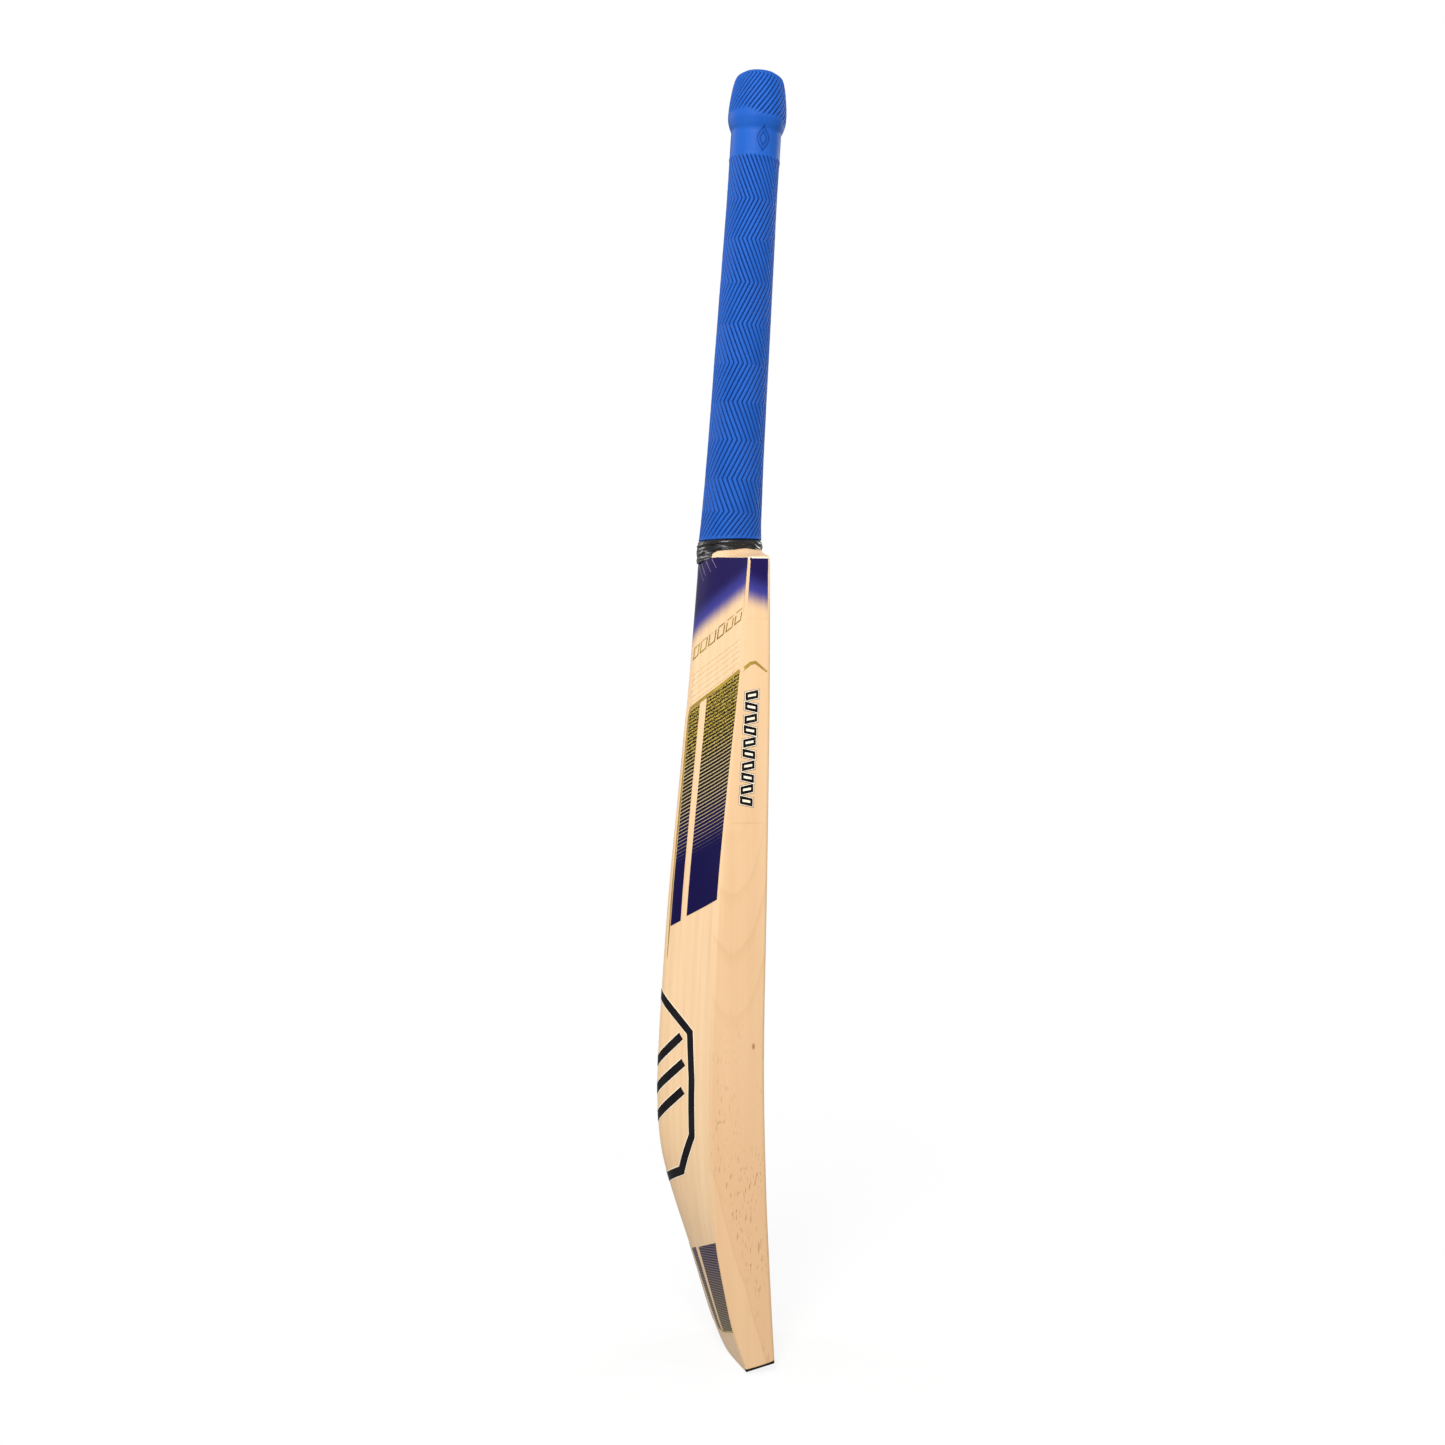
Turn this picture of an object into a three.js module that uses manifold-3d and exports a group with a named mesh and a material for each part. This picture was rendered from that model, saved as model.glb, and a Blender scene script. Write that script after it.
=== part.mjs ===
// Cricket bat: a willow blade spliced to a laminated cane handle, with its binding, rubber grip,
// neck tape, toe guard and thin printed labels. Millimetres, +Z up along the bat from toe to knob.
// X is the width of the blade, the hitting face looks along -Y and the ridge of the back along +Y.
// The origin is under the middle of the bat's bounding box, level with the lowest point of the toe.
import * as THREE from 'three';
import { mergeVertices } from 'three/addons/utils/BufferGeometryUtils.js';
import Module from 'manifold-3d';

const wasm = await Module();
wasm.setup();

// ---- Driving dimensions ----------------------------------------------------------------------

const GAP = 0.3; // glue line between neighbouring pieces

// Blade
const BLADE_HALF_WIDTH = 53.4;
const TOE_HALF_WIDTH = 53;
const SHOULDER_HALF_WIDTH = 52.2;
const BLADE_TOP = 551.5;
const SHOULDER_SLANT = THREE.MathUtils.degToRad(5); // the top of the blade falls towards the back
const FACE_CROWN = 1.2;
const EDGE_BULGE = 0.6;
const FACE_CORNER_RADIUS = 2.6;
const BACK_CORNER_RADIUS = 1.6;
const BACK_HOLLOW = 0.22;
const TOE_SLANT = THREE.MathUtils.degToRad(13.8); // and the toe falls towards it too
const TOE_FACE_Z = 2.2;
const TOE_CORNER_RADIUS = 2.4;
const TOE_GUARD_THICKNESS = 1.9;

// Bow of the face, line of the edge's back corner and line of the ridge, as [height, Y]
const FACE_LINE_Y = -22;
const FACE_LINE = [
  [-8, -25.7], [12, -24.5], [45, -22.6], [120, -19.2], [205, -17.7], [320, -19.7], [450, -21.7], [560, -22.2],
];
const EDGE_LINE = [
  [-8, -7.4], [3, -3.9], [24, 3.2], [45, 7.9], [85, 14.9], [125, 17.8], [180, 18.7], [246, 17], [312, 13.9],
  [379, 7.8], [466, -1.5], [513, -4.8], [560, -8.5],
];
const RIDGE_LINE = [
  [-8, -5.2], [3, 0.5], [24, 8.6], [71, 23.4], [113, 37], [141, 43.9], [173, 46.3], [210, 45.5], [266, 42.1],
  [321, 37.9], [405, 29.6], [460, 24.2], [516, 19.3], [560, 15.8],
];
// Height of the shoulders along the face, as [distance from the middle, height]
const SHOULDER_LINE = [[15, 551.5], [25, 548.8], [35, 546.6], [45, 545], [50, 544.1], [53.6, 541]];
// Roundness of the ridge against the half width of the blade
const RIDGE_ROUNDNESS = [[-8, 0.5], [60, 0.3], [160, 0.14], [400, 0.16], [480, 0.26], [560, 0.62]];
const HALF_WIDTH_LINE = [
  [-8, TOE_HALF_WIDTH], [60, BLADE_HALF_WIDTH], [400, BLADE_HALF_WIDTH], [540, SHOULDER_HALF_WIDTH],
];
const BLADE_LEVELS = [
  -8, 12, 30, 50, 72, 95, 115, 134, 153, 175, 203, 235, 270, 312, 355, 400, 440, 480, 512, 535, 558,
];
const BLADE_TOP_LIMIT = 620; // above everything that belongs to the blade
const FACE_STEPS = 8;
const CORNER_STEPS = 2;
const BACK_STEPS = 8;

// Cutting shapes
const CUT_REACH = 80; // half of a cutter's depth, further than the bat reaches
const CUT_MARGIN = 6; // how far a cutter stands past the sides
const SHOULDER_DROP = 20; // where the shoulder cutter meets the sides, below the end of the shoulder
const TOE_SIDE_CLEARANCE = 0.4;

// Splice
const SPLICE_TOP_HALF_WIDTH = 18.5;
const SPLICE_TIP_HALF_WIDTH = 1.4;
const SPLICE_DEPTH = 130;
const SPLICE_OVERRUN = 4;
const NECK_DEPTH = 8; // how far the round of the shaft runs down into the splice

// Handle: it leans towards the face, and distances run along it from its base
const HANDLE_LEAN = THREE.MathUtils.degToRad(3.75);
const HANDLE_BASE_Y = -4;
const HANDLE_BASE_Z = 549.5;
const HANDLE_LENGTH = 334.5;
const HANDLE_SIDES = 32;
const GRIP_START = 8.5;
const KNOB_START = 289;
const GRIP_WALL = 1.5;
const TWINE_THICKNESS = 0.9;
const TWINE_START = 4;
const SHAFT_ROOT = -9; // the shaft is made a little long and then cut level with the blade
const TWINE_END = 296;
const CANE_END = 328.5;
const GRIP_MOUTH_RADIUS = 7.5;
const GRIP_MOUTH_FLARE = 2;
const OVALITY_AT_BASE = 0.9; // width over depth
const OVALITY_AT_KNOB = 0.985;
// Half of the grip's depth, front to back, as [distance along the handle, radius]
const GRIP_LINE = [
  [0, 22], [8.5, 21.7], [22.5, 21], [63, 19.95], [105, 19.3], [148, 18.85], [216, 17.9], [246, 17.5],
  [KNOB_START, 17.5],
];
const KNOB_LINE = [
  [292.5, 17.5], [296, 18.9], [301, 20.2], [309, 20.2], [317, 19.4], [323.5, 18.4], [328.5, 17.2],
  [331.8, 15.5], [HANDLE_LENGTH, 11.5],
];
const CANE_FLARE_LINE = [[297, 14.6], [304, 15.9], [313, 16.6], [322, 16], [CANE_END, 14.8]];
const SHAFT_LEVELS = [22.5, 63, 105, 148, 190, 216, 246];

// Laminations of the handle
const SPRING_THICKNESS = 1.6;
const SPRING_SPACING = 9.6;
const CANE_STRIP_WIDTH = 11;

// Neck tape
const TAPE_THICKNESS = 1.1;
const TAPE_TOP = 8.2;
const TAPE_TAPER = 0.4;
const TAPE_SKIRT = 16;
// The tape's lower edge at the face, where it starts to fall, and at the ridge
const TAPE_FRONT_Z = 552.2;
const TAPE_SIDE_Y = -2;
const TAPE_SIDE_Z = 550.4;
const TAPE_BACK_Z = 541;

// Printed labels: thin films that follow the blade
const FILM_THICKNESS = 0.3;
// Labels on the back lie behind one Y and those on the face in front of another, both negated
const LABEL_BACK_LIMIT = 13;
const LABEL_FACE_LIMIT = 15;
const LABEL_FACE_MARGIN = 0.8;
const LABEL_BACK_MARGIN = 0.4;
const SHOULDER_LABEL_TOP = 541.8;
const SHOULDER_LABEL_EDGE_END = 507;
const SHOULDER_LABEL_RIDGE_END = 486;

// ---- Colours -----------------------------------------------------------------------------------

const COLOURS = {
  willow: { color: 0xf2d3a3, roughness: 0.5, metalness: 0 },
  cane: { color: 0xd9b67a, roughness: 0.6, metalness: 0 },
  spring: { color: 0x26221f, roughness: 0.9, metalness: 0 },
  twine: { color: 0xd8cfb8, roughness: 0.85, metalness: 0 },
  grip: { color: 0x1f5fc4, roughness: 0.6, metalness: 0 },
  tape: { color: 0x141416, roughness: 0.3, metalness: 0 },
  guard: { color: 0x101010, roughness: 0.7, metalness: 0 },
  navyFilm: { color: 0x1f1a55, roughness: 0.25, metalness: 0 },
  goldFilm: { color: 0xb79a3a, roughness: 0.3, metalness: 0.4 },
  clearFilm: { color: 0xf0dcb4, roughness: 0.25, metalness: 0 },
  blackFilm: { color: 0x101012, roughness: 0.3, metalness: 0 },
};

// ---- Curves ------------------------------------------------------------------------------------

// A smooth function through [position, value] pairs that stays level beyond its ends
function curveThrough(points) {
  const last = points.length - 1;
  const slopes = points.map((point, i) => {
    const before = points[Math.max(i - 1, 0)];
    const after = points[Math.min(i + 1, last)];
    return (after[1] - before[1]) / (after[0] - before[0]);
  });
  return (position) => {
    const at = THREE.MathUtils.clamp(position, points[0][0], points[last][0]);
    const i = Math.min(Math.max(points.findIndex((point) => point[0] >= at) - 1, 0), last - 1);
    const span = points[i + 1][0] - points[i][0];
    const t = (at - points[i][0]) / span;
    const t2 = t * t;
    const t3 = t2 * t;
    return (2 * t3 - 3 * t2 + 1) * points[i][1] + (t3 - 2 * t2 + t) * span * slopes[i]
      + (3 * t2 - 2 * t3) * points[i + 1][1] + (t3 - t2) * span * slopes[i + 1];
  };
}

const faceY = curveThrough(FACE_LINE);
const edgeY = curveThrough(EDGE_LINE);
const ridgeY = curveThrough(RIDGE_LINE);
const ridgeRoundness = curveThrough(RIDGE_ROUNDNESS);
const halfWidth = curveThrough(HALF_WIDTH_LINE);
const gripRadius = curveThrough(GRIP_LINE);

// ---- Solids ------------------------------------------------------------------------------------

// A closed three.js geometry as a solid that can be cut and joined
function solid(geometry) {
  geometry.deleteAttribute('normal');
  geometry.deleteAttribute('uv');
  const merged = mergeVertices(geometry);
  return new wasm.Manifold(new wasm.Mesh({
    numProp: 3,
    vertProperties: merged.getAttribute('position').array,
    triVerts: Uint32Array.from(merged.getIndex().array),
  }));
}

// The outlines of a stack of levels, counterclockwise from above, skinned from bottom to top
function loft(levels, outlineAt) {
  const outlines = levels.map(outlineAt);
  const sides = outlines[0].length;
  const steps = levels.length - 1;
  const geometry = new THREE.CylinderGeometry(1, 1, 1, sides, steps);
  const position = geometry.getAttribute('position');
  for (let i = 0; i < position.count; i += 1) {
    const level = Math.round((position.getY(i) + 0.5) * steps);
    const outline = outlines[level];
    const turn = Math.atan2(position.getX(i), position.getZ(i)) / (2 * Math.PI);
    const onRim = Math.hypot(position.getX(i), position.getZ(i)) > 0.5;
    const corner = outline[(Math.round(turn * sides) + sides) % sides];
    const middle = outline[0].clone().add(outline[sides / 2]).multiplyScalar(0.5);
    const point = onRim ? corner : middle;
    position.setXYZ(i, point.x, point.y, levels[level]);
  }
  return solid(geometry);
}

// A flat outline extruded between two depths, then turned by the given matrix
function prism(shape, from, to, matrix) {
  const geometry = new THREE.ExtrudeGeometry(shape, {
    depth: to - from, bevelEnabled: false, curveSegments: 6,
  });
  geometry.translate(0, 0, from);
  geometry.applyMatrix4(matrix);
  return solid(geometry);
}

// Outlines drawn in X and Z are extruded along Y, and those drawn in Y and Z along X
const ALONG_Y = new THREE.Matrix4().set(1, 0, 0, 0, 0, 0, -1, 0, 0, 1, 0, 0, 0, 0, 0, 1);
const ALONG_X = new THREE.Matrix4().set(0, 0, 1, 0, 1, 0, 0, 0, 0, 1, 0, 0, 0, 0, 0, 1);

function polygon(corners) {
  return new THREE.Shape(corners.map(([a, b]) => new THREE.Vector2(a, b)));
}

function slab(width, depth, height, x, y, z) {
  const geometry = new THREE.BoxGeometry(width, depth, height);
  geometry.translate(x, y, z);
  return geometry;
}

function largestBody(manifold) {
  return manifold.decompose().reduce((best, body) => (body.volume() > best.volume() ? body : best));
}

// ---- Blade -------------------------------------------------------------------------------------

// Height of the back above the edge's corner, 1 on the ridge and 0 at the edge
function backShape(across, roundness) {
  const run = Math.hypot(across, roundness) - roundness;
  const t = run / (Math.hypot(1, roundness) - roundness);
  return (1 - t) * (1 - BACK_HOLLOW * t);
}

// One level of the blade, counterclockwise from the middle of the face, grown by a film's offset
function bladeOutline(z, grow) {
  const width = halfWidth(z);
  const face = faceY(z);
  const edge = edgeY(z);
  const rise = ridgeY(z) - edge;
  const roundness = ridgeRoundness(z);
  const steep = (backShape(1, roundness) - backShape(0.98, roundness)) * -50 * (rise / width);
  const lean = Math.atan(steep);
  const half = [];
  const faceEnd = width - FACE_CORNER_RADIUS;
  for (let i = 0; i < FACE_STEPS / 2; i += 1) {
    const x = (faceEnd * i) / (FACE_STEPS / 2);
    half.push([x, face - FACE_CROWN * (1 - (x / faceEnd) ** 2)]);
  }
  for (let i = 0; i <= CORNER_STEPS; i += 1) {
    const a = -Math.PI / 2 + (i / CORNER_STEPS) * (Math.PI / 2);
    const bulge = EDGE_BULGE * Math.cos(a);
    half.push([
      faceEnd - bulge + FACE_CORNER_RADIUS * Math.cos(a),
      face + FACE_CORNER_RADIUS + FACE_CORNER_RADIUS * Math.sin(a),
    ]);
  }
  const backX = width - EDGE_BULGE - BACK_CORNER_RADIUS;
  const backY = edge + BACK_CORNER_RADIUS * (steep - Math.hypot(1, steep));
  half.push([width, (face + FACE_CORNER_RADIUS + backY) / 2]);
  for (let i = 0; i <= CORNER_STEPS; i += 1) {
    const a = (i / CORNER_STEPS) * (Math.PI / 2 - lean);
    half.push([backX + BACK_CORNER_RADIUS * Math.cos(a), backY + BACK_CORNER_RADIUS * Math.sin(a)]);
  }
  const slopeStart = half[half.length - 1][0];
  for (let i = 1; i < BACK_STEPS; i += 1) {
    const x = slopeStart * (1 - i / BACK_STEPS) ** 1.15;
    half.push([x, edge + rise * backShape(x / width, roundness)]);
  }
  const ridge = [[0, edge + rise]];
  const mirrored = half.slice(1).reverse().map(([x, y]) => [-x, y]);
  const outline = [...half, ...ridge, ...mirrored].map(([x, y]) => new THREE.Vector2(x, y));
  return grow === 0 ? outline : offset(outline, grow);
}

// An outline moved outwards along the average normal of its sides
function offset(outline, distance) {
  const count = outline.length;
  return outline.map((point, i) => {
    const before = outline[(i + count - 1) % count];
    const after = outline[(i + 1) % count];
    const along = after.clone().sub(before).normalize();
    return new THREE.Vector2(point.x + along.y * distance, point.y - along.x * distance);
  });
}

function bladeLoft(grow) {
  return loft(BLADE_LEVELS, (z) => bladeOutline(z, grow));
}

// A front view whose cut falls towards the back from the line where it meets the face
function slantedPrism(shape, slant, faceHeight) {
  const slope = Math.tan(slant);
  const matrix = new THREE.Matrix4().makeTranslation(0, FACE_LINE_Y, faceHeight)
    .multiply(new THREE.Matrix4().set(1, 0, 0, 0, 0, 0, -1, 0, 0, 1, slope, 0, 0, 0, 0, 1));
  return prism(shape, -CUT_REACH, CUT_REACH, matrix);
}

// Everything under the shoulders, which rise to the handle, lifted by some height
function underShoulders(lift) {
  const line = SHOULDER_LINE.map(([x, z]) => [x, z + lift]);
  const wide = BLADE_HALF_WIDTH + CUT_MARGIN;
  const [, shoulderEnd] = SHOULDER_LINE[SHOULDER_LINE.length - 1];
  const right = [[wide, -CUT_REACH], [wide, shoulderEnd - SHOULDER_DROP], ...line.reverse()];
  const left = right.map(([x, z]) => [-x, z]).reverse();
  return slantedPrism(polygon([...right, ...left]), SHOULDER_SLANT, 0);
}

// Front view of everything above the toe line, with its rounded corners
function toeOutline() {
  const r = TOE_CORNER_RADIUS;
  const wide = TOE_HALF_WIDTH + TOE_SIDE_CLEARANCE;
  const wider = wide + CUT_MARGIN;
  const shape = new THREE.Shape();
  shape.moveTo(-wider, BLADE_TOP_LIMIT);
  shape.lineTo(-wider, r + CUT_MARGIN);
  shape.lineTo(-wide, r);
  shape.absarc(-wide + r, r, r, Math.PI, 1.5 * Math.PI, false);
  shape.absarc(wide - r, r, r, 1.5 * Math.PI, 2 * Math.PI, false);
  shape.lineTo(wider, r + CUT_MARGIN);
  shape.lineTo(wider, BLADE_TOP_LIMIT);
  return shape;
}

// Everything above the plane of the toe, moved up by a thickness
function aboveToe(thickness) {
  const wide = BLADE_HALF_WIDTH + CUT_MARGIN;
  const outline = polygon([
    [-wide, thickness], [wide, thickness], [wide, BLADE_TOP_LIMIT], [-wide, BLADE_TOP_LIMIT],
  ]);
  return slantedPrism(outline, TOE_SLANT, TOE_FACE_Z);
}

const blank = bladeLoft(0)
  .intersect(underShoulders(0))
  .intersect(slantedPrism(toeOutline(), TOE_SLANT, TOE_FACE_Z));

function splicePrism(clearance) {
  const top = SPLICE_TOP_HALF_WIDTH - clearance;
  const tip = SPLICE_TIP_HALF_WIDTH - clearance;
  const tipZ = BLADE_TOP - SPLICE_DEPTH + clearance;
  const topZ = BLADE_TOP + SPLICE_OVERRUN;
  const outline = polygon([[-tip, tipZ], [tip, tipZ], [top, topZ], [-top, topZ]]);
  return prism(outline, -CUT_REACH, CUT_REACH, ALONG_Y);
}

function bladeSolid() {
  return blank.intersect(aboveToe(TOE_GUARD_THICKNESS + GAP)).subtract(splicePrism(0));
}

function toeGuardSolid() {
  return blank.subtract(aboveToe(TOE_GUARD_THICKNESS));
}

// ---- Handle ------------------------------------------------------------------------------------

const HANDLE_PLACE = new THREE.Matrix4()
  .makeTranslation(0, HANDLE_BASE_Y, HANDLE_BASE_Z)
  .multiply(new THREE.Matrix4().makeRotationX(HANDLE_LEAN));

function placedOnHandle(manifold) {
  return manifold.transform(HANDLE_PLACE.toArray());
}

function ovality(s) {
  return THREE.MathUtils.mapLinear(
    THREE.MathUtils.clamp(s, 0, 260), 0, 260, OVALITY_AT_BASE, OVALITY_AT_KNOB,
  );
}

function oval(s, radius) {
  return Array.from({ length: HANDLE_SIDES }, (_, i) => {
    const a = (i / HANDLE_SIDES) * 2 * Math.PI;
    return new THREE.Vector2(radius * ovality(s) * Math.sin(a), -radius * Math.cos(a));
  });
}

// A turned body from [distance, radius] pairs
function turned(line) {
  const levels = line.map(([s]) => s);
  return loft(levels, (s) => oval(s, line[levels.indexOf(s)][1]));
}

// The shaft between two distances, smaller than the grip by an inset
function shaftLine(from, to, inset) {
  const levels = [from, ...SHAFT_LEVELS.filter((s) => s > from + 3 && s < to - 3), to];
  return levels.map((s) => [s, gripRadius(s) - inset]);
}

const TWINE_OUTSIDE = GRIP_WALL + GAP;
const TWINE_INSIDE = TWINE_OUTSIDE + TWINE_THICKNESS;
const CANE_OUTSIDE = TWINE_INSIDE + GAP;

function gripSolid() {
  const outside = turned([...shaftLine(GRIP_START, KNOB_START, 0), ...KNOB_LINE]);
  const flare = CANE_FLARE_LINE.map(([s, radius]) => [s, radius + GAP]);
  const inside = turned([
    ...shaftLine(GRIP_START - GAP, TWINE_END + GAP, GRIP_WALL),
    ...flare.slice(1, -1),
    [CANE_END + GAP, flare[flare.length - 1][1]],
  ]);
  const mouth = turned([
    [CANE_END - GRIP_MOUTH_FLARE, GRIP_MOUTH_RADIUS],
    [HANDLE_LENGTH - GRIP_MOUTH_FLARE, GRIP_MOUTH_RADIUS],
    [HANDLE_LENGTH + GAP, GRIP_MOUTH_RADIUS + GRIP_MOUTH_FLARE],
  ]);
  return placedOnHandle(outside.subtract(inside).subtract(mouth));
}

function twineSolid() {
  const outside = turned(shaftLine(TWINE_START, TWINE_END, TWINE_OUTSIDE));
  const inside = turned(shaftLine(SHAFT_ROOT, TWINE_END + GAP, TWINE_INSIDE));
  return placedOnHandle(outside.subtract(inside));
}

// The cane block before it is split: the turned handle and the wedge that fills the splice
function caneBlock() {
  const line = [...shaftLine(SHAFT_ROOT, TWINE_END, CANE_OUTSIDE), ...CANE_FLARE_LINE];
  const shaft = placedOnHandle(turned(line));
  const wedge = splicePrism(GAP);
  const handle = shaft.subtract(below(BLADE_TOP + GAP));
  const tongue = blank.intersect(wedge);
  const neck = shaft.intersect(wedge).subtract(below(BLADE_TOP - NECK_DEPTH));
  return handle.add(tongue).add(neck);
}

// Everything lower than a height
function below(z) {
  return solid(slab(2 * CUT_REACH, 2 * CUT_REACH, BLADE_TOP_LIMIT, 0, 0, z - BLADE_TOP_LIMIT / 2));
}

// A slab of the cane block, given by its range across the width and through the depth
function lamination(block, [x0, x1], [y0, y1]) {
  const height = CANE_END + SPLICE_DEPTH + 2 * CUT_REACH;
  const middle = (CANE_END - SPLICE_DEPTH) / 2;
  const box = slab(x1 - x0, y1 - y0, height, (x0 + x1) / 2, (y0 + y1) / 2, middle);
  return largestBody(block.intersect(placedOnHandle(solid(box))));
}

// ---- Neck tape ---------------------------------------------------------------------------------

// A wrinkled collar under the grip that runs down over the top of the ridge
function neckTapeSolid() {
  const grown = gripRadius(0) + TAPE_THICKNESS - GRIP_WALL / 2;
  const outside = placedOnHandle(turned([
    [-TAPE_SKIRT, grown], [0, grown], [TAPE_TOP, grown - TAPE_TAPER],
  ]));
  const bore = gripRadius(0) - TWINE_OUTSIDE + GAP;
  const inside = placedOnHandle(turned([[-TAPE_SKIRT - GAP, bore], [TAPE_TOP + GAP, bore]]));
  const front = HANDLE_BASE_Y - gripRadius(0) - TAPE_THICKNESS;
  const back = HANDLE_BASE_Y + gripRadius(0) + TAPE_THICKNESS;
  const under = TAPE_BACK_Z - CUT_REACH;
  const cut = prism(polygon([
    [front - CUT_MARGIN, TAPE_FRONT_Z], [front - CUT_MARGIN, under], [back + CUT_MARGIN, under],
    [back + CUT_MARGIN, TAPE_BACK_Z], [back, TAPE_BACK_Z], [TAPE_SIDE_Y, TAPE_SIDE_Z],
    [front, TAPE_FRONT_Z],
  ]), -CUT_REACH, CUT_REACH, ALONG_X);
  const bladeRoom = bladeLoft(GAP).intersect(underShoulders(GAP));
  return largestBody(outside.subtract(inside).subtract(cut).subtract(bladeRoom));
}

// ---- Labels ------------------------------------------------------------------------------------

const film = bladeLoft(GAP + FILM_THICKNESS).subtract(bladeLoft(GAP));

function mirrored(corners, side) {
  const placed = corners.map(([x, z]) => [x * side, z]);
  return side > 0 ? placed : placed.reverse();
}

// A label on the back, on the face, or on one edge
function backLabel(corners) {
  return largestBody(film.intersect(prism(polygon(corners), -CUT_REACH, LABEL_BACK_LIMIT, ALONG_Y)));
}

function faceLabel(corners) {
  return largestBody(film.intersect(prism(polygon(corners), LABEL_FACE_LIMIT, CUT_REACH, ALONG_Y)));
}

function edgeLabel(side, rows) {
  const front = rows.map((z) => [faceY(z) + FACE_CORNER_RADIUS + LABEL_FACE_MARGIN, z]);
  const back = rows.map((z) => [edgeY(z) - BACK_CORNER_RADIUS - LABEL_BACK_MARGIN, z]).reverse();
  const near = BLADE_HALF_WIDTH - CUT_MARGIN;
  const band = side > 0 ? [near, CUT_REACH] : [-CUT_REACH, -near];
  return largestBody(film.intersect(prism(polygon([...front, ...back]), ...band, ALONG_X)));
}

const SHOULDER_LABEL = [
  [-50, SHOULDER_LABEL_TOP], [-50.5, SHOULDER_LABEL_EDGE_END], [0, SHOULDER_LABEL_RIDGE_END],
  [50.5, SHOULDER_LABEL_EDGE_END], [50, SHOULDER_LABEL_TOP], [24, SHOULDER_LABEL_TOP + 2.8],
  [14, SHOULDER_LABEL_TOP + 1], [0, SHOULDER_LABEL_TOP - 1.2], [-14, SHOULDER_LABEL_TOP + 1],
  [-24, SHOULDER_LABEL_TOP + 2.8],
];
const SIDE_LABEL = [[3, 270], [16, 288], [51, 303], [51, 466], [3, 437]];
const TITLE_LABEL = [[4, 468], [50.5, 492], [50.5, 504.5], [4, 482]];
const EMBLEM_LABEL = [[-38, 150], [0, 111], [38, 150], [38, 212], [0, 250], [-38, 212]];
const TOE_LABEL = [[9, 13], [50.5, 23], [50.5, 84], [9, 66]];

// ---- Assembly ----------------------------------------------------------------------------------

function mesh(name, manifold, look) {
  const { vertProperties, triVerts } = manifold.getMesh();
  const geometry = new THREE.BufferGeometry();
  geometry.setAttribute('position', new THREE.BufferAttribute(vertProperties, 3));
  geometry.setIndex(new THREE.BufferAttribute(triVerts, 1));
  geometry.computeVertexNormals();
  const piece = new THREE.Mesh(geometry, new THREE.MeshStandardMaterial(COLOURS[look]));
  piece.name = name;
  return piece;
}

function handlePieces() {
  const block = caneBlock();
  const halfSpring = SPRING_THICKNESS / 2;
  const halfStrip = CANE_STRIP_WIDTH / 2;
  const outer = CUT_REACH;
  const pieces = [];
  const columns = [
    ['left', [-outer, -halfStrip - GAP / 2]],
    ['middle', [-halfStrip + GAP / 2, halfStrip - GAP / 2]],
    ['right', [halfStrip + GAP / 2, outer]],
  ];
  for (let layer = 0; layer < 4; layer += 1) {
    const from = layer === 0 ? -outer : (layer - 2) * SPRING_SPACING + halfSpring + GAP;
    const to = layer === 3 ? outer : (layer - 1) * SPRING_SPACING - halfSpring - GAP;
    for (const [column, range] of columns) {
      const name = `cane_strip_${layer + 1}_${column}`;
      pieces.push(mesh(name, lamination(block, range, [from, to]), 'cane'));
    }
  }
  for (let spring = 0; spring < 3; spring += 1) {
    const centre = (spring - 1) * SPRING_SPACING;
    const range = [centre - halfSpring, centre + halfSpring];
    const strip = lamination(block, [-outer, outer], range);
    pieces.push(mesh(`rubber_spring_${spring + 1}`, strip, 'spring'));
  }
  return pieces;
}

function labelPieces() {
  const pieces = [
    mesh('shoulder_label_back', backLabel(SHOULDER_LABEL), 'navyFilm'),
    mesh('shoulder_label_face', faceLabel(SHOULDER_LABEL), 'navyFilm'),
    mesh('emblem_label', backLabel(EMBLEM_LABEL), 'blackFilm'),
  ];
  for (const [word, side] of [['left', -1], ['right', 1]]) {
    pieces.push(mesh(`side_label_${word}`, backLabel(mirrored(SIDE_LABEL, side)), 'navyFilm'));
    pieces.push(mesh(`title_label_${word}`, backLabel(mirrored(TITLE_LABEL, side)), 'goldFilm'));
    pieces.push(mesh(`toe_label_${word}`, backLabel(mirrored(TOE_LABEL, side)), 'navyFilm'));
    const shoulderRows = [SHOULDER_LABEL_EDGE_END - 2, 522, SHOULDER_LABEL_TOP - 1];
    pieces.push(mesh(`shoulder_label_${word}`, edgeLabel(side, shoulderRows), 'navyFilm'));
    pieces.push(mesh(`edge_label_${word}`, edgeLabel(side, [364, 400, 436, 470]), 'clearFilm'));
  }
  return pieces;
}

const bat = new THREE.Group();
bat.add(
  mesh('blade', bladeSolid(), 'willow'),
  mesh('toe_guard', toeGuardSolid(), 'guard'),
  mesh('binding_twine', twineSolid(), 'twine'),
  mesh('rubber_grip', gripSolid(), 'grip'),
  mesh('neck_tape', neckTapeSolid(), 'tape'),
  ...handlePieces(),
  ...labelPieces(),
);

// The origin goes under the middle of the bounding box, level with the toe
const bounds = new THREE.Box3().setFromObject(bat);
const centre = bounds.getCenter(new THREE.Vector3());
bat.position.set(-centre.x, -centre.y, -bounds.min.z);

const batAssembly = new THREE.Group();
batAssembly.add(bat);

export default batAssembly;
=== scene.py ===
"""Cricket bat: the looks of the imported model.

Shapes are drawn in millimetres in the blade's own drawing frame, which put() carries into the row
frame in metres.
"""
import math

import bpy
import numpy as np
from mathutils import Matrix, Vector, noise


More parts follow.
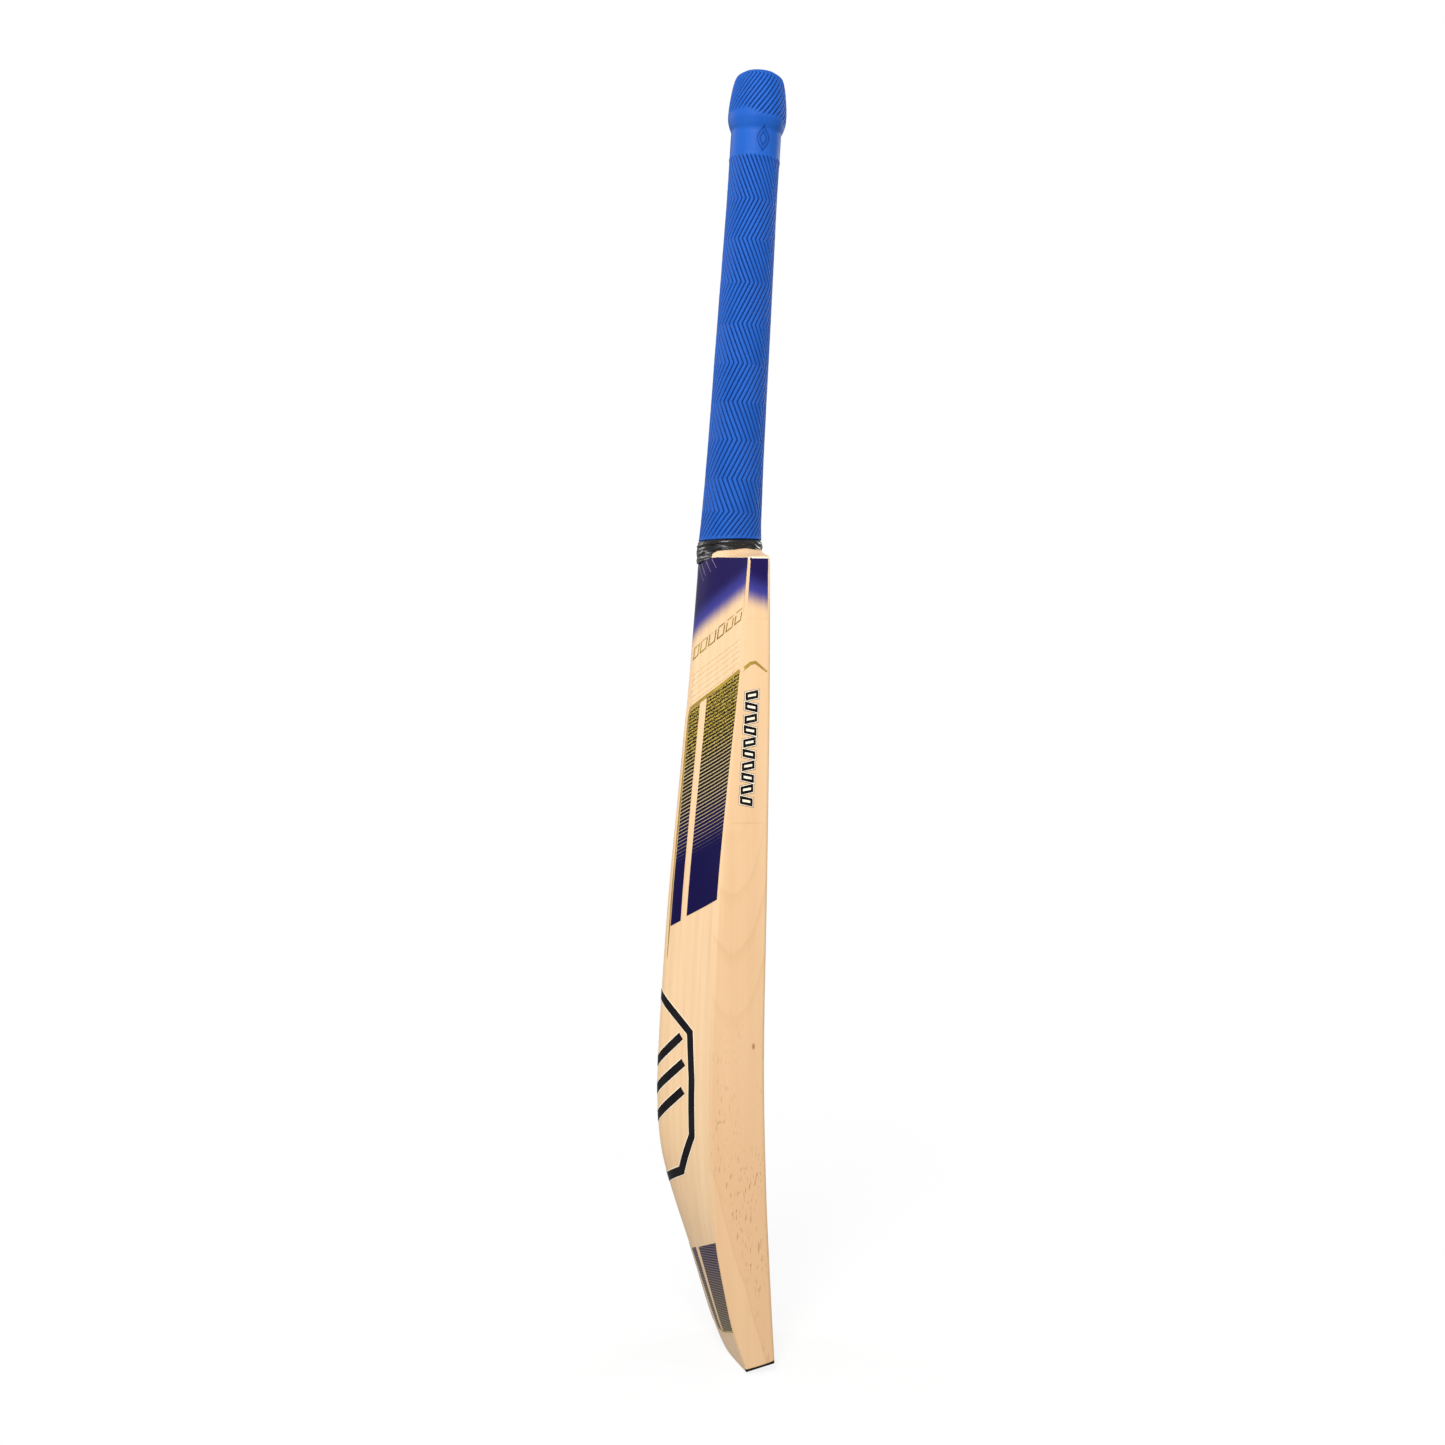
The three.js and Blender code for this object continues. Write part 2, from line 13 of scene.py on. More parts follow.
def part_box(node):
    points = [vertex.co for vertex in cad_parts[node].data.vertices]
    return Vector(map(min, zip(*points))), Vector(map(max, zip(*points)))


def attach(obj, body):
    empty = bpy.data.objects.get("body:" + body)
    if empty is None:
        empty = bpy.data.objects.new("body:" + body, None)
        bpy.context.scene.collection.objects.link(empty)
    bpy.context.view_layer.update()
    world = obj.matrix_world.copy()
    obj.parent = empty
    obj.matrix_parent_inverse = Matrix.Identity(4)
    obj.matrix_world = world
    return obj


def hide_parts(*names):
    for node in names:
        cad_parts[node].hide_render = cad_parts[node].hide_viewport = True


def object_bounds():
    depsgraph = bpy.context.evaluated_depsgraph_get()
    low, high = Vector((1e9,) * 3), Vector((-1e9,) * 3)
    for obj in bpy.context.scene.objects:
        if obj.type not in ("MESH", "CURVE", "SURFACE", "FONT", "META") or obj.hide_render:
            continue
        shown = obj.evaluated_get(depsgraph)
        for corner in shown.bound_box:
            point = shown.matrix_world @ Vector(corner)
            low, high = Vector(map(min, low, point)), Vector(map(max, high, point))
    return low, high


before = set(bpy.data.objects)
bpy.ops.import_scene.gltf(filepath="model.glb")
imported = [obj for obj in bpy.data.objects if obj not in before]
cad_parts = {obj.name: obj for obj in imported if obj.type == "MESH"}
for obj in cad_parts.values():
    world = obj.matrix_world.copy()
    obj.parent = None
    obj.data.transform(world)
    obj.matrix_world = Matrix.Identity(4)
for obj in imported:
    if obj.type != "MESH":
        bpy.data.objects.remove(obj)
cad_low, cad_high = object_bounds()

MM = 0.001

# ---- Blade, as in the CAD model ----

BLADE_HALF_WIDTH = 53.4
TOE_HALF_WIDTH = 53.0
SHOULDER_HALF_WIDTH = 52.2
BLADE_TOP = 551.5
SHOULDER_SLANT = math.radians(5)
FACE_CROWN = 1.2
EDGE_BULGE = 0.6
FACE_CORNER_RADIUS = 2.6
BACK_CORNER_RADIUS = 1.6
BACK_HOLLOW = 0.22
TOE_SLANT = math.radians(13.8)
TOE_FACE_Z = 2.2
TOE_CORNER_RADIUS = 2.4
TOE_SIDE_CLEARANCE = 0.4
TOE_GUARD_THICKNESS = 1.9
SPLICE_TOP_HALF_WIDTH = 18.5
SPLICE_TIP_HALF_WIDTH = 1.4
SPLICE_DEPTH = 130.0
SPLICE_OVERRUN = 4.0
CUT_REACH = 60.0

FACE_LINE_Y = -22.0
FACE_LINE = [(-8, -25.7), (12, -24.5), (45, -22.6), (120, -19.2), (205, -17.7), (320, -19.7),
             (450, -21.7), (560, -22.2)]
EDGE_LINE = [(-8, -7.4), (3, -3.9), (24, 3.2), (45, 7.9), (85, 14.9), (125, 17.8), (180, 18.7),
             (246, 17.0), (312, 13.9), (379, 7.8), (466, -1.5), (513, -4.8), (560, -8.5)]
RIDGE_LINE = [(-8, -5.2), (3, 0.5), (24, 8.6), (71, 23.4), (113, 37.0), (141, 43.9), (173, 46.3),
              (210, 45.5), (266, 42.1), (321, 37.9), (405, 29.6), (460, 24.2), (516, 19.3),
              (560, 15.8)]
RIDGE_ROUNDNESS = [(-8, 0.5), (60, 0.3), (160, 0.14), (400, 0.16), (480, 0.26), (560, 0.62)]
HALF_WIDTH_LINE = [(-8, TOE_HALF_WIDTH), (60, BLADE_HALF_WIDTH), (400, BLADE_HALF_WIDTH),
                   (540, SHOULDER_HALF_WIDTH)]
RIDGE_TOP_LEVEL = 175

# ---- Handle, as in the CAD model ----

HANDLE_LEAN = math.radians(3.75)
HANDLE_BASE_Y = -4.0
HANDLE_BASE_Z = 549.5
HANDLE_LENGTH = 334.5
KNOB_END_RADIUS = 11.5
GRIP_START = 8.5
OVALITY_AT_BASE = 0.9
OVALITY_AT_BASE = 0.9
OVALITY_AT_KNOB = 0.985
OVALITY_REACH = 260
GRIP_MOUTH_RADIUS = 7.5
GRIP_LINE = [(0, 22), (8.5, 21.7), (22.5, 21), (63, 19.95), (105, 19.3), (148, 18.85), (216, 17.9),
             (246, 17.5), (289, 17.5), (292.5, 17.5), (296, 18.9), (301, 20.2), (309, 20.2), (317, 19.4),
             (323.5, 18.4), (328.5, 17.2), (331.8, 15.5), (HANDLE_LENGTH, KNOB_END_RADIUS)]


def curve_through(points):
    """A smooth function through (position, value) pairs that stays level beyond its ends."""
    places = np.array([p[0] for p in points], float)
    values = np.array([p[1] for p in points], float)
    last = len(points) - 1
    before = np.maximum(np.arange(last + 1) - 1, 0)
    after = np.minimum(np.arange(last + 1) + 1, last)
    slopes = (values[after] - values[before]) / (places[after] - places[before])

    def value_at(position):
        at = np.clip(position, places[0], places[-1])
        i = np.clip(np.searchsorted(places, at) - 1, 0, last - 1)
        span = places[i + 1] - places[i]
        t = (at - places[i]) / span
        return (
            (2 * t**3 - 3 * t**2 + 1) * values[i] + (t**3 - 2 * t**2 + t) * span * slopes[i]
            + (3 * t**2 - 2 * t**3) * values[i + 1] + (t**3 - t**2) * span * slopes[i + 1]
        )

    return value_at


face_y = curve_through(FACE_LINE)
edge_y = curve_through(EDGE_LINE)
ridge_y = curve_through(RIDGE_LINE)
ridge_roundness = curve_through(RIDGE_ROUNDNESS)
half_width = curve_through(HALF_WIDTH_LINE)
grip_radius = curve_through(GRIP_LINE)

_, blade_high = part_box("blade")
BAT_TOP = (HANDLE_BASE_Z + HANDLE_LENGTH * math.cos(HANDLE_LEAN)
           + KNOB_END_RADIUS * math.sin(HANDLE_LEAN))
SHIFT = np.array([0.0, blade_high.y - ridge_y(RIDGE_TOP_LEVEL) * MM, cad_high.z - BAT_TOP * MM])


def unit(value):
    """The value kept between 0 and 1."""
    return np.clip(value, 0, 1)


def put(points):
    """Points from the drawing frame in millimetres to the row frame in metres."""
    return np.asarray(points, float) * MM + SHIFT


def on_handle(points):
    """Points whose third number runs along the leaning handle, in the drawing frame."""
    x, y, s = np.moveaxis(np.asarray(points, float), -1, 0)
    c, n = math.cos(HANDLE_LEAN), math.sin(HANDLE_LEAN)
    return np.stack([x, HANDLE_BASE_Y + y * c - s * n, HANDLE_BASE_Z + y * n + s * c], -1)


def back_shape(across, roundness):
    """Height of the back above the edge's corner, 1 on the ridge and 0 at the edge."""
    t = (np.hypot(across, roundness) - roundness) / (np.hypot(1, roundness) - roundness)
    return (1 - t) * (1 - BACK_HOLLOW * t)


def back_y(x, z):
    edge = edge_y(z)
    return edge + (ridge_y(z) - edge) * back_shape(np.abs(x) / half_width(z), ridge_roundness(z))


def front_y(x, z):
    reach = half_width(z) - FACE_CORNER_RADIUS
    return face_y(z) - FACE_CROWN * (1 - (x / reach) ** 2)


# ---- Camera, light and floor ----

CAMERA_AZIMUTH = math.radians(259)
CAMERA_DISTANCE = 1.35
CAMERA_HEIGHT = 0.4324
CAMERA_SIDESTEP = -0.0007
CAMERA_LENS = 48.48
CAMERA_SENSOR = 36
STUDIO_WHITE = (1.0, 1.0, 1.0, 1.0)
FLOOR_GREY = (0.8, 0.8, 0.8, 1)
WORLD_STRENGTH = 0.46
# Soft lights round the bat, as (name, place, target, size, power)
LIGHTS = [
    ("key", (-1.5, 0.55, 1.75), (0, 0, 0.72), 0.5, 42),
    ("low_fill", (-1.2, 1.5, 0.25), (0, 0, 0.15), 0.9, 9),
    ("side", (-1.5, -1.8, 1.3), (0, 0, 0.6), 0.6, 9),
    ("back", (1.4, 1.6, 1.4), (0, 0, 0.5), 0.8, 15),
    ("front", (1.3, -1.9, 1.2), (0, 0, 0.45), 0.9, 18),
]
FLOOR_SIDES = 64
FLOOR_RADII = [0.0, 0.05, 0.2, 0.5, 1.0, 2.0, 6.0, 18.0]
FLOOR_DROP = 0.0002
BACKDROP_RADIUS = 20.0


def new_object(name, data):
    made = bpy.data.objects.new(name, data)
    bpy.context.scene.collection.objects.link(made)
    return made


def aim(thing, place, away):
    """Puts a camera or light at a place, with its back to a direction."""
    thing.location = place
    thing.rotation_euler = away.to_track_quat("Z", "Y").to_euler()


def make_camera():
    data = bpy.data.cameras.new("camera")
    data.lens = CAMERA_LENS
    data.sensor_width = CAMERA_SENSOR
    away = Vector((math.sin(CAMERA_AZIMUTH), -math.cos(CAMERA_AZIMUTH), 0))
    beside = Vector((-away.y, away.x, 0)) * CAMERA_SIDESTEP
    place = Vector(SHIFT) + away * CAMERA_DISTANCE + beside + Vector((0, 0, CAMERA_HEIGHT))
    camera = new_object("camera", data)
    aim(camera, place, away)
    bpy.context.scene.camera = camera


def make_studio():
    scene = bpy.context.scene
    scene.view_settings.view_transform = "Standard"
    world = bpy.data.worlds.new("studio")
    scene.world = world
    world.use_nodes = True
    background = world.node_tree.nodes["Background"]
    background.inputs["Color"].default_value = STUDIO_WHITE
    background.inputs["Strength"].default_value = WORLD_STRENGTH
    for name, place, target, size, power in LIGHTS:
        data = bpy.data.lights.new(name, "AREA")
        data.shape = "DISK"
        data.size = size
        data.energy = power
        aim(new_object(name, data), place, Vector(place) - Vector(target))


# ---- Shader helpers ----


def node(tree, kind, inputs=None, **settings):
    """A shader node; each input is a plain value or a field."""
    made = tree.nodes.new(kind)
    for key, value in settings.items():
        setattr(made, key, value)
    for key, value in (inputs or {}).items():
        if isinstance(value, Field):
            tree.links.new(value.socket, made.inputs[key])
        else:
            made.inputs[key].default_value = value
    return made


class Field:
    """A number, vector or colour that varies over a surface: an output of a shader tree."""

    def __init__(self, socket):
        self.socket = socket
        self.tree = socket.id_data

    def add(self, kind, inputs, output=0, **settings):
        """What a new node makes of this field and further inputs."""
        made = node(self.tree, kind, {0: self, **inputs}, **settings)
        return Field(made.outputs[output])

    def maths(self, operation, other=0.0):
        return self.add("ShaderNodeMath", {1: other}, operation=operation)

    def vector(self, operation, other=(0, 0, 0), output=0):
        return self.add("ShaderNodeVectorMath", {1: other}, output, operation=operation)

    def __add__(self, other):
        return self.maths("ADD", other)

    def __sub__(self, other):
        return self.maths("SUBTRACT", other)

    def __mul__(self, other):
        return self.maths("MULTIPLY", other)

    def __truediv__(self, other):
        return self.maths("DIVIDE", other)

    def size(self):
        return self.maths("ABSOLUTE")

    def remap(self, low, high, to_low=0.0, to_high=1.0, kind="LINEAR"):
        inputs = {1: low, 2: high, 3: to_low, 4: to_high}
        return self.add("ShaderNodeMapRange", inputs, interpolation_type=kind)

    def smooth(self, low, high):
        return self.remap(low, high, kind="SMOOTHERSTEP")

    def ramp(self, stops):
        """The field through a curve of (place, grey) stops."""
        made = node(self.tree, "ShaderNodeValToRGB", {0: self})
        elements = made.color_ramp.elements
        while len(elements) < len(stops):
            elements.new(0.5)
        for element, (place, grey) in zip(elements, stops):
            element.position = place
            element.color = (grey, grey, grey, 1)
        return Field(made.outputs[0])

    def grain(self, scale, detail=2.0, roughness=0.5):
        """Noise over coordinates, its own size along each axis, given as cycles per metre."""
        inputs = {"Scale": 1.0, "Detail": detail, "Roughness": roughness,
                  "Vector": self.vector("MULTIPLY", scale)}
        return Field(node(self.tree, "ShaderNodeTexNoise", inputs).outputs["Fac"])

    def bump(self, strength, distance):
        inputs = {"Strength": strength, "Distance": distance, "Height": self}
        return Field(node(self.tree, "ShaderNodeBump", inputs).outputs["Normal"])


def mix(factor, first, second):
    """A blend of two colours, at least one of the three a field."""
    tree = next(part.tree for part in (factor, first, second) if isinstance(part, Field))
    made = node(tree, "ShaderNodeMix", {0: factor, 6: first, 7: second}, data_type="RGBA")
    return Field(made.outputs[2])


def place_of(tree):
    """The object's own coordinates in metres: whole, then x, y and z."""
    whole = Field(node(tree, "ShaderNodeTexCoord").outputs["Object"])
    parts = node(tree, "ShaderNodeSeparateXYZ", {0: whole}).outputs
    return whole, *(Field(part) for part in parts)


class Look:
    """A material in the making: plain numbers on its shader's sockets, then painted fields."""

    def __init__(self, name, **sockets):
        self.material = bpy.data.materials.new(name)
        self.material.use_nodes = True
        self.tree = self.material.node_tree
        self.shader = self.tree.nodes["Principled BSDF"]
        self.whole, self.x, self.y, self.z = place_of(self.tree)
        for key, value in sockets.items():
            self.shader.inputs[key.replace("_", " ")].default_value = value

    def drawing_place(self):
        """Distance from the middle, depth and height in millimetres of the drawing frame."""
        depth, upward = ((part - place) / MM for part, place in zip((self.y, self.z), SHIFT[1:]))
        return self.x.size() / MM, depth, upward

    def wood(self):
        """The willow's colour and height."""
        outputs = node(self.tree, "ShaderNodeGroup", node_tree=WILLOW).outputs
        return Field(outputs["Color"]), Field(outputs["Height"])

    def paint(self, colour, roughness=None, normal=None):
        for key, field in (("Base Color", colour), ("Roughness", roughness), ("Normal", normal)):
            if field is not None:
                self.tree.links.new(field.socket, self.shader.inputs[key])
        return self.material

    def show(self, shader):
        """Puts another shader on the surface."""
        self.tree.links.new(shader, self.tree.nodes["Material Output"].inputs["Surface"])
        return self.material

    def glow(self):
        inputs = {"Color": STUDIO_WHITE, "Strength": 1.0}
        return node(self.tree, "ShaderNodeEmission", inputs).outputs[0]


# ---- Wood ----

WILLOW_LIGHT = (0.80, 0.565, 0.335, 1)
WILLOW_DARK = (0.58, 0.345, 0.165, 1)
# Heartwood tone, also used for the painted shade low on the edges
WILLOW_HEART_AND_SHADE = (0.66, 0.405, 0.215, 1)
FLECK_BROWN = (0.25, 0.10, 0.035, 1)
GRAIN_PER_METRE = 120.0
LATE_WOOD = [(0.0, 0.35), (0.12, 0.0), (0.62, 0.12), (0.9, 0.75), (1.0, 0.35)]
FIGURE_LINE = [(0.0, 0.0), (0.7, 0.1), (0.93, 1.0), (1.0, 0.0)]
FIGURE_PER_METRE = 24.0
FIGURE_MIDDLE = (0, 4, 0)
FIGURE_ARCH = 95.0
KNOT_PLACE = (-BLADE_HALF_WIDTH, -10, 216)


def willow_group():
    """The wood as a solid texture, so that grain runs on under the clear films."""
    group = bpy.data.node_groups.new("willow", "ShaderNodeTree")
    for label, kind in (("Color", "NodeSocketColor"), ("Height", "NodeSocketFloat")):
        group.interface.new_socket(label, in_out="OUTPUT", socket_type=kind)
    whole, x, y, z = place_of(group)
    grown = whole.grain((9, 16, 2.4)) * 0.020 + (y * 0.16 + x)
    late = (grown * GRAIN_PER_METRE).maths("FRACT").ramp(LATE_WOOD)
    fibre = whole.grain((900, 900, 14), 3.0, 0.6)
    streak = whole.grain((160, 160, 3.5))
    cloud = whole.grain((14, 22, 4.0))
    on_edge = x.size().remap(0.0495, 0.0530)
    faint = late * on_edge.remap(0, 1, 0.20, 0.28)
    colour = mix(streak.remap(0.35, 0.7) * 0.20 + faint, WILLOW_LIGHT, WILLOW_DARK)
    warm = cloud.remap(0.42, 0.68) * on_edge.remap(0, 1, 0.18, 0.55)
    colour = mix(warm, colour, WILLOW_HEART_AND_SHADE)
    # Painted shade: the edges are darkened towards the toe, where the light falls off downwards
    colour = mix(z.remap(0.46, 0.12) * 0.55 * on_edge, colour, WILLOW_HEART_AND_SHADE)
    colour = mix(fibre.remap(0.3, 0.75) * 0.12, colour, WILLOW_DARK)
    colour = toe_heart(whole, y, z, on_edge, colour)
    colour = curved_figure(whole, y, z, on_edge, colour)
    knot = knot_mask(whole)
    result = group.nodes.new("NodeGroupOutput")
    group.links.new(mix(knot, colour, FLECK_BROWN).socket, result.inputs["Color"])
    group.links.new((fibre - knot * 0.6).socket, result.inputs["Height"])
    return group


def toe_heart(whole, y, z, on_edge, colour):
    """Darker wood towards the face at the toe end of the edges, with short flecks in it."""
    line = whole.grain((40, 40, 18)) * 0.006 + (z * -0.28 + y)
    inside = line.remap(-0.0176, -0.0196)
    here = z.remap(0.26, 0.12) * on_edge
    heart = inside * here
    colour = mix(heart * 0.55, colour, WILLOW_HEART_AND_SHADE)
    border = ((inside * 2 - 1).size() * -1 + 1) * here
    colour = mix(border * 0.35, colour, WILLOW_DARK)
    speck = whole.grain((900, 900, 170), 1.0).remap(0.60, 0.70)
    cluster = whole.grain((60, 60, 22), 1.0).remap(0.42, 0.6)
    return mix(speck * cluster * heart * 0.6, colour, FLECK_BROWN)


def curved_figure(whole, y, z, on_edge, colour):
    """Arched growth lines on the edges, where a branch once pushed the grain aside."""
    across = y - put(FIGURE_MIDDLE)[1]
    wobble = whole.grain((45, 45, 20), 3.0) * 0.022
    arch = z - across * across * FIGURE_ARCH + wobble
    line = (arch * FIGURE_PER_METRE).maths("FRACT").ramp(FIGURE_LINE)
    here = z.remap(0.20, 0.27) * z.remap(0.40, 0.31) * on_edge
    return mix(line * here * 0.3, colour, WILLOW_DARK)


def knot_mask(whole):
    """A pin knot on the left edge."""
    flat = whole.vector("SUBTRACT", Vector(put(KNOT_PLACE))).vector("MULTIPLY", (0.3, 1.0, 0.5))
    return flat.vector("LENGTH", output="Value").remap(0.0014, 0.0004, 0.0, 0.8)


WILLOW = willow_group()


def willow_material():
    look = Look("willow", Roughness=0.36, Specular_IOR_Level=0.35)
    colour, height = look.wood()
    return look.paint(colour, None, height.bump(0.25, 0.0002))


# ---- Mesh helpers ----

SMOOTH_ANGLE = 35


def new_piece(name, vertices, faces, materials, face_materials=None, smooth_angle=SMOOTH_ANGLE):
    mesh = bpy.data.meshes.new(name)
    mesh.from_pydata([tuple(v) for v in vertices], [], faces)
    for material in materials:
        mesh.materials.append(material)
    if face_materials is not None:
        mesh.polygons.foreach_set("material_index", face_materials)
    mesh.polygons.foreach_set("use_smooth", [True] * len(faces))
    mesh.set_sharp_from_angle(angle=math.radians(smooth_angle))
    return new_object(name, mesh)


def stands_for(piece, slot, *nodes):
    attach(piece, "root")
    if nodes:
        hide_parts(*nodes)


def ring_faces(rings, count, wrap=False):
    """Quads between successive rings of count points each; wrap joins the last to the first."""
    faces = []
    for r in range(rings if wrap else rings - 1):
        here, there = r * count, (r + 1) % rings * count
        for i in range(count):
            j = (i + 1) % count
            faces.append((here + i, here + j, there + j, there + i))
    return faces


# ---- Blade piece ----

ACROSS = 56
CORNER_STEPS = 5
EDGE_STEPS = 10
SIDE = 2 * CORNER_STEPS + EDGE_STEPS
RINGS = 150
LEVEL_STEP = 2.0
HALFWAY_UP = 270.0
HEIGHT_PASSES = 6
RIDGE_CROWDING = 1.25
SLOPE_STEP = 0.02
FILLET_STEPS = 4
SHOULDER_FILLET = 1.3
TOE_ROUND = 1.8
TOE_GAP = 0.05
# Rounding of the two edges at the toe, as (rise, inset, inset of the back)
BLADE_FOOT = [(0.0, 0.25, 0.5), (0.2, 0.08, 0.3), (0.7, 0, 0.12), (1.3, 0, 0.03)]
GUARD_FOOT = [(0.0, 0.5), (0.08, 0.28), (0.22, 0.1), (0.5, 0.03), (1.2, 0.03), (1.9, 0.03)]
GUARD_BACK_INSET = 0.9
BACK_INSET_END = 50.0
BACK_INSET_FADE = 6.0
BACK_INSET_DEPTH = 4.0
# The wood runs down over the guard at the back: share hidden, depth, and where it ends sideways
GUARD_LAP = 0.9
GUARD_LAP_DEPTH = 5.0
GUARD_LAP_END = 50.5
GUARD_LAP_FADE = 3.0
COLLAR_RADIUS = 22.0
COLLAR_RISE = 2.2
COLLAR_SPREAD = 8.0
COLLAR_FADE = 10.0
SHOULDER_LINE = [(-15, BLADE_TOP), (0, BLADE_TOP), (14, 551.4), (25, 548.8), (35, 546.6), (45, 545),
                 (50, 544.1), (53.6, 541)]
shoulder_curve = curve_through(SHOULDER_LINE)


def blade_outline(z):
    """One level of the blade: the face from -X to +X, the right side, the back and the left side."""
    width = float(half_width(z))
    face = float(face_y(z))
    rise = float(ridge_y(z) - edge_y(z))
    edge = float(edge_y(z))
    roundness = float(ridge_roundness(z))
    fall = float(back_shape(1 - SLOPE_STEP, roundness) - back_shape(1, roundness)) / SLOPE_STEP
    steep = fall * rise / width
    lean = math.atan(steep)
    reach = width - FACE_CORNER_RADIUS
    face_row = [(x, float(front_y(x, z))) for x in np.linspace(-reach, reach, ACROSS + 1)]
    corner_x = width - EDGE_BULGE
    arcs = np.linspace(0, 1, CORNER_STEPS + 1)
    side = []
    for t in arcs[1:]:
        a = (t - 1) * math.pi / 2
        bulge = EDGE_BULGE * math.cos(a)
        side.append((reach - bulge + FACE_CORNER_RADIUS * math.cos(a),
                     face + FACE_CORNER_RADIUS * (1 + math.sin(a))))
    back_centre = edge + BACK_CORNER_RADIUS * (steep - math.hypot(1, steep))
    start = face + FACE_CORNER_RADIUS
    for t in np.linspace(0, 1, EDGE_STEPS + 1)[1:]:
        side.append((width - EDGE_BULGE * (2 * t - 1) ** 2, start + (back_centre - start) * t))
    for t in arcs[1:-1]:
        a = t * (math.pi / 2 - lean)
        side.append((corner_x - BACK_CORNER_RADIUS * (1 - math.cos(a)),
                     back_centre + BACK_CORNER_RADIUS * math.sin(a)))
    slope_x = corner_x - BACK_CORNER_RADIUS * (1 - math.sin(lean))
    spread = np.linspace(1, -1, ACROSS + 1)
    back_xs = np.sign(spread) * np.abs(spread) ** RIDGE_CROWDING * slope_x
    back_row = [(x, edge + rise * float(back_shape(abs(x) / width, roundness))) for x in back_xs]
    left = [(-x, y) for x, y in reversed(side)]
    return face_row + side + back_row + left


LEVELS = np.arange(-8, 561, LEVEL_STEP)
OUTLINES = np.array([blade_outline(z) for z in LEVELS])


def outline_at(heights):
    """The outline's points, each taken at its own height."""
    f = np.clip((heights - LEVELS[0]) / LEVEL_STEP, 0, len(LEVELS) - 1.001)
    i = f.astype(int)
    t = (f - i)[:, None]
    k = np.arange(OUTLINES.shape[1])
    return OUTLINES[i, k] * (1 - t) + OUTLINES[i + 1, k] * t


def toe_z(y):
    """Height of the slanted plane of the toe."""
    return TOE_FACE_Z + (FACE_LINE_Y - y) * math.tan(TOE_SLANT)


def toe_reach(height):
    """Half width at a height above the toe's plane, where its corners are round."""
    straight = TOE_HALF_WIDTH + TOE_SIDE_CLEARANCE - TOE_CORNER_RADIUS
    left = max(TOE_CORNER_RADIUS - height, 0)
    return straight + math.sqrt(TOE_CORNER_RADIUS**2 - left**2)


def shoulder_z(x, y):
    """Height of the top of the blade, which rises to the handle and falls towards the back."""
    outside = np.maximum(np.hypot(x / OVALITY_AT_BASE, y - HANDLE_BASE_Y) - COLLAR_RADIUS, 0)
    behind_face = unit((y - FACE_LINE_Y) / COLLAR_FADE)
    collar = COLLAR_RISE * np.exp(-((outside / COLLAR_SPREAD) ** 2)) * behind_face
    return shoulder_curve(np.abs(x)) + (FACE_LINE_Y - y) * math.tan(SHOULDER_SLANT) + collar


def inset(points, distance):
    """A closed outline moved inwards."""
    along = np.roll(points, -1, 0) - np.roll(points, 1, 0)
    along /= np.linalg.norm(along, axis=1)[:, None]
    return points + np.stack([-along[:, 1], along[:, 0]], 1) * distance


def guard_cover(x, y):
    """Share of the guard's thickness that shows."""
    from_back = back_y(x, toe_z(y)) - y
    inside = unit((GUARD_LAP_END - np.abs(x)) / GUARD_LAP_FADE)
    return 1 - GUARD_LAP * unit(1 - from_back / GUARD_LAP_DEPTH) * inside


def blade_ring(share, above_toe, drop_shoulder, inwards, inwards_at_back=0.0):
    """The outline at a share of the way from the toe to the shoulders."""
    heights = np.full(OUTLINES.shape[1], HALFWAY_UP)
    for _ in range(HEIGHT_PASSES):
        points = outline_at(heights)
        x, y = points[:, 0], points[:, 1]
        low = toe_z(y) + above_toe * guard_cover(x, y)
        high = shoulder_z(x, y) - drop_shoulder
        heights = low + (high - low) * share
    if inwards:
        points = inset(points, inwards)
    if inwards_at_back:
        edge = float(edge_y(float(heights.mean())))
        middle = unit((BACK_INSET_END - np.abs(x)) / BACK_INSET_FADE)
        behind = unit((y - edge) / BACK_INSET_DEPTH + 1)
        points[:, 1] -= inwards_at_back * middle * behind
    if share == 0:
        reach = toe_reach(above_toe) - inwards
        points[:, 0] = np.clip(points[:, 0], -reach, reach)
    return np.column_stack([points, heights])


def four_sides(ring):
    """A ring of points or numbers as the front, right, back and left side of a grid."""
    n, m = ACROSS, SIDE
    around = np.concatenate([ring, ring[:1]])
    front, right = around[:n + 1], around[n:n + m + 1]
    return front, right, around[n + m:2 * n + m + 1][::-1], around[2 * n + m:][::-1]


def cap_points(ring, height_at):
    """A grid of points that fills a ring."""
    front, right, back, left = four_sides(ring)
    u = np.linspace(0, 1, ACROSS + 1)[None, :, None]
    v = np.linspace(0, 1, SIDE + 1)[:, None, None]
    edges = (1 - v) * front + v * back + (1 - u) * left[:, None] + u * right[:, None]
    corners = ((1 - v) * ((1 - u) * front[0] + u * front[-1])
               + v * ((1 - u) * back[0] + u * back[-1]))
    inner = (edges - corners)[1:-1, 1:-1]
    inner[..., 2] = height_at(inner[..., 0], inner[..., 1])
    return inner


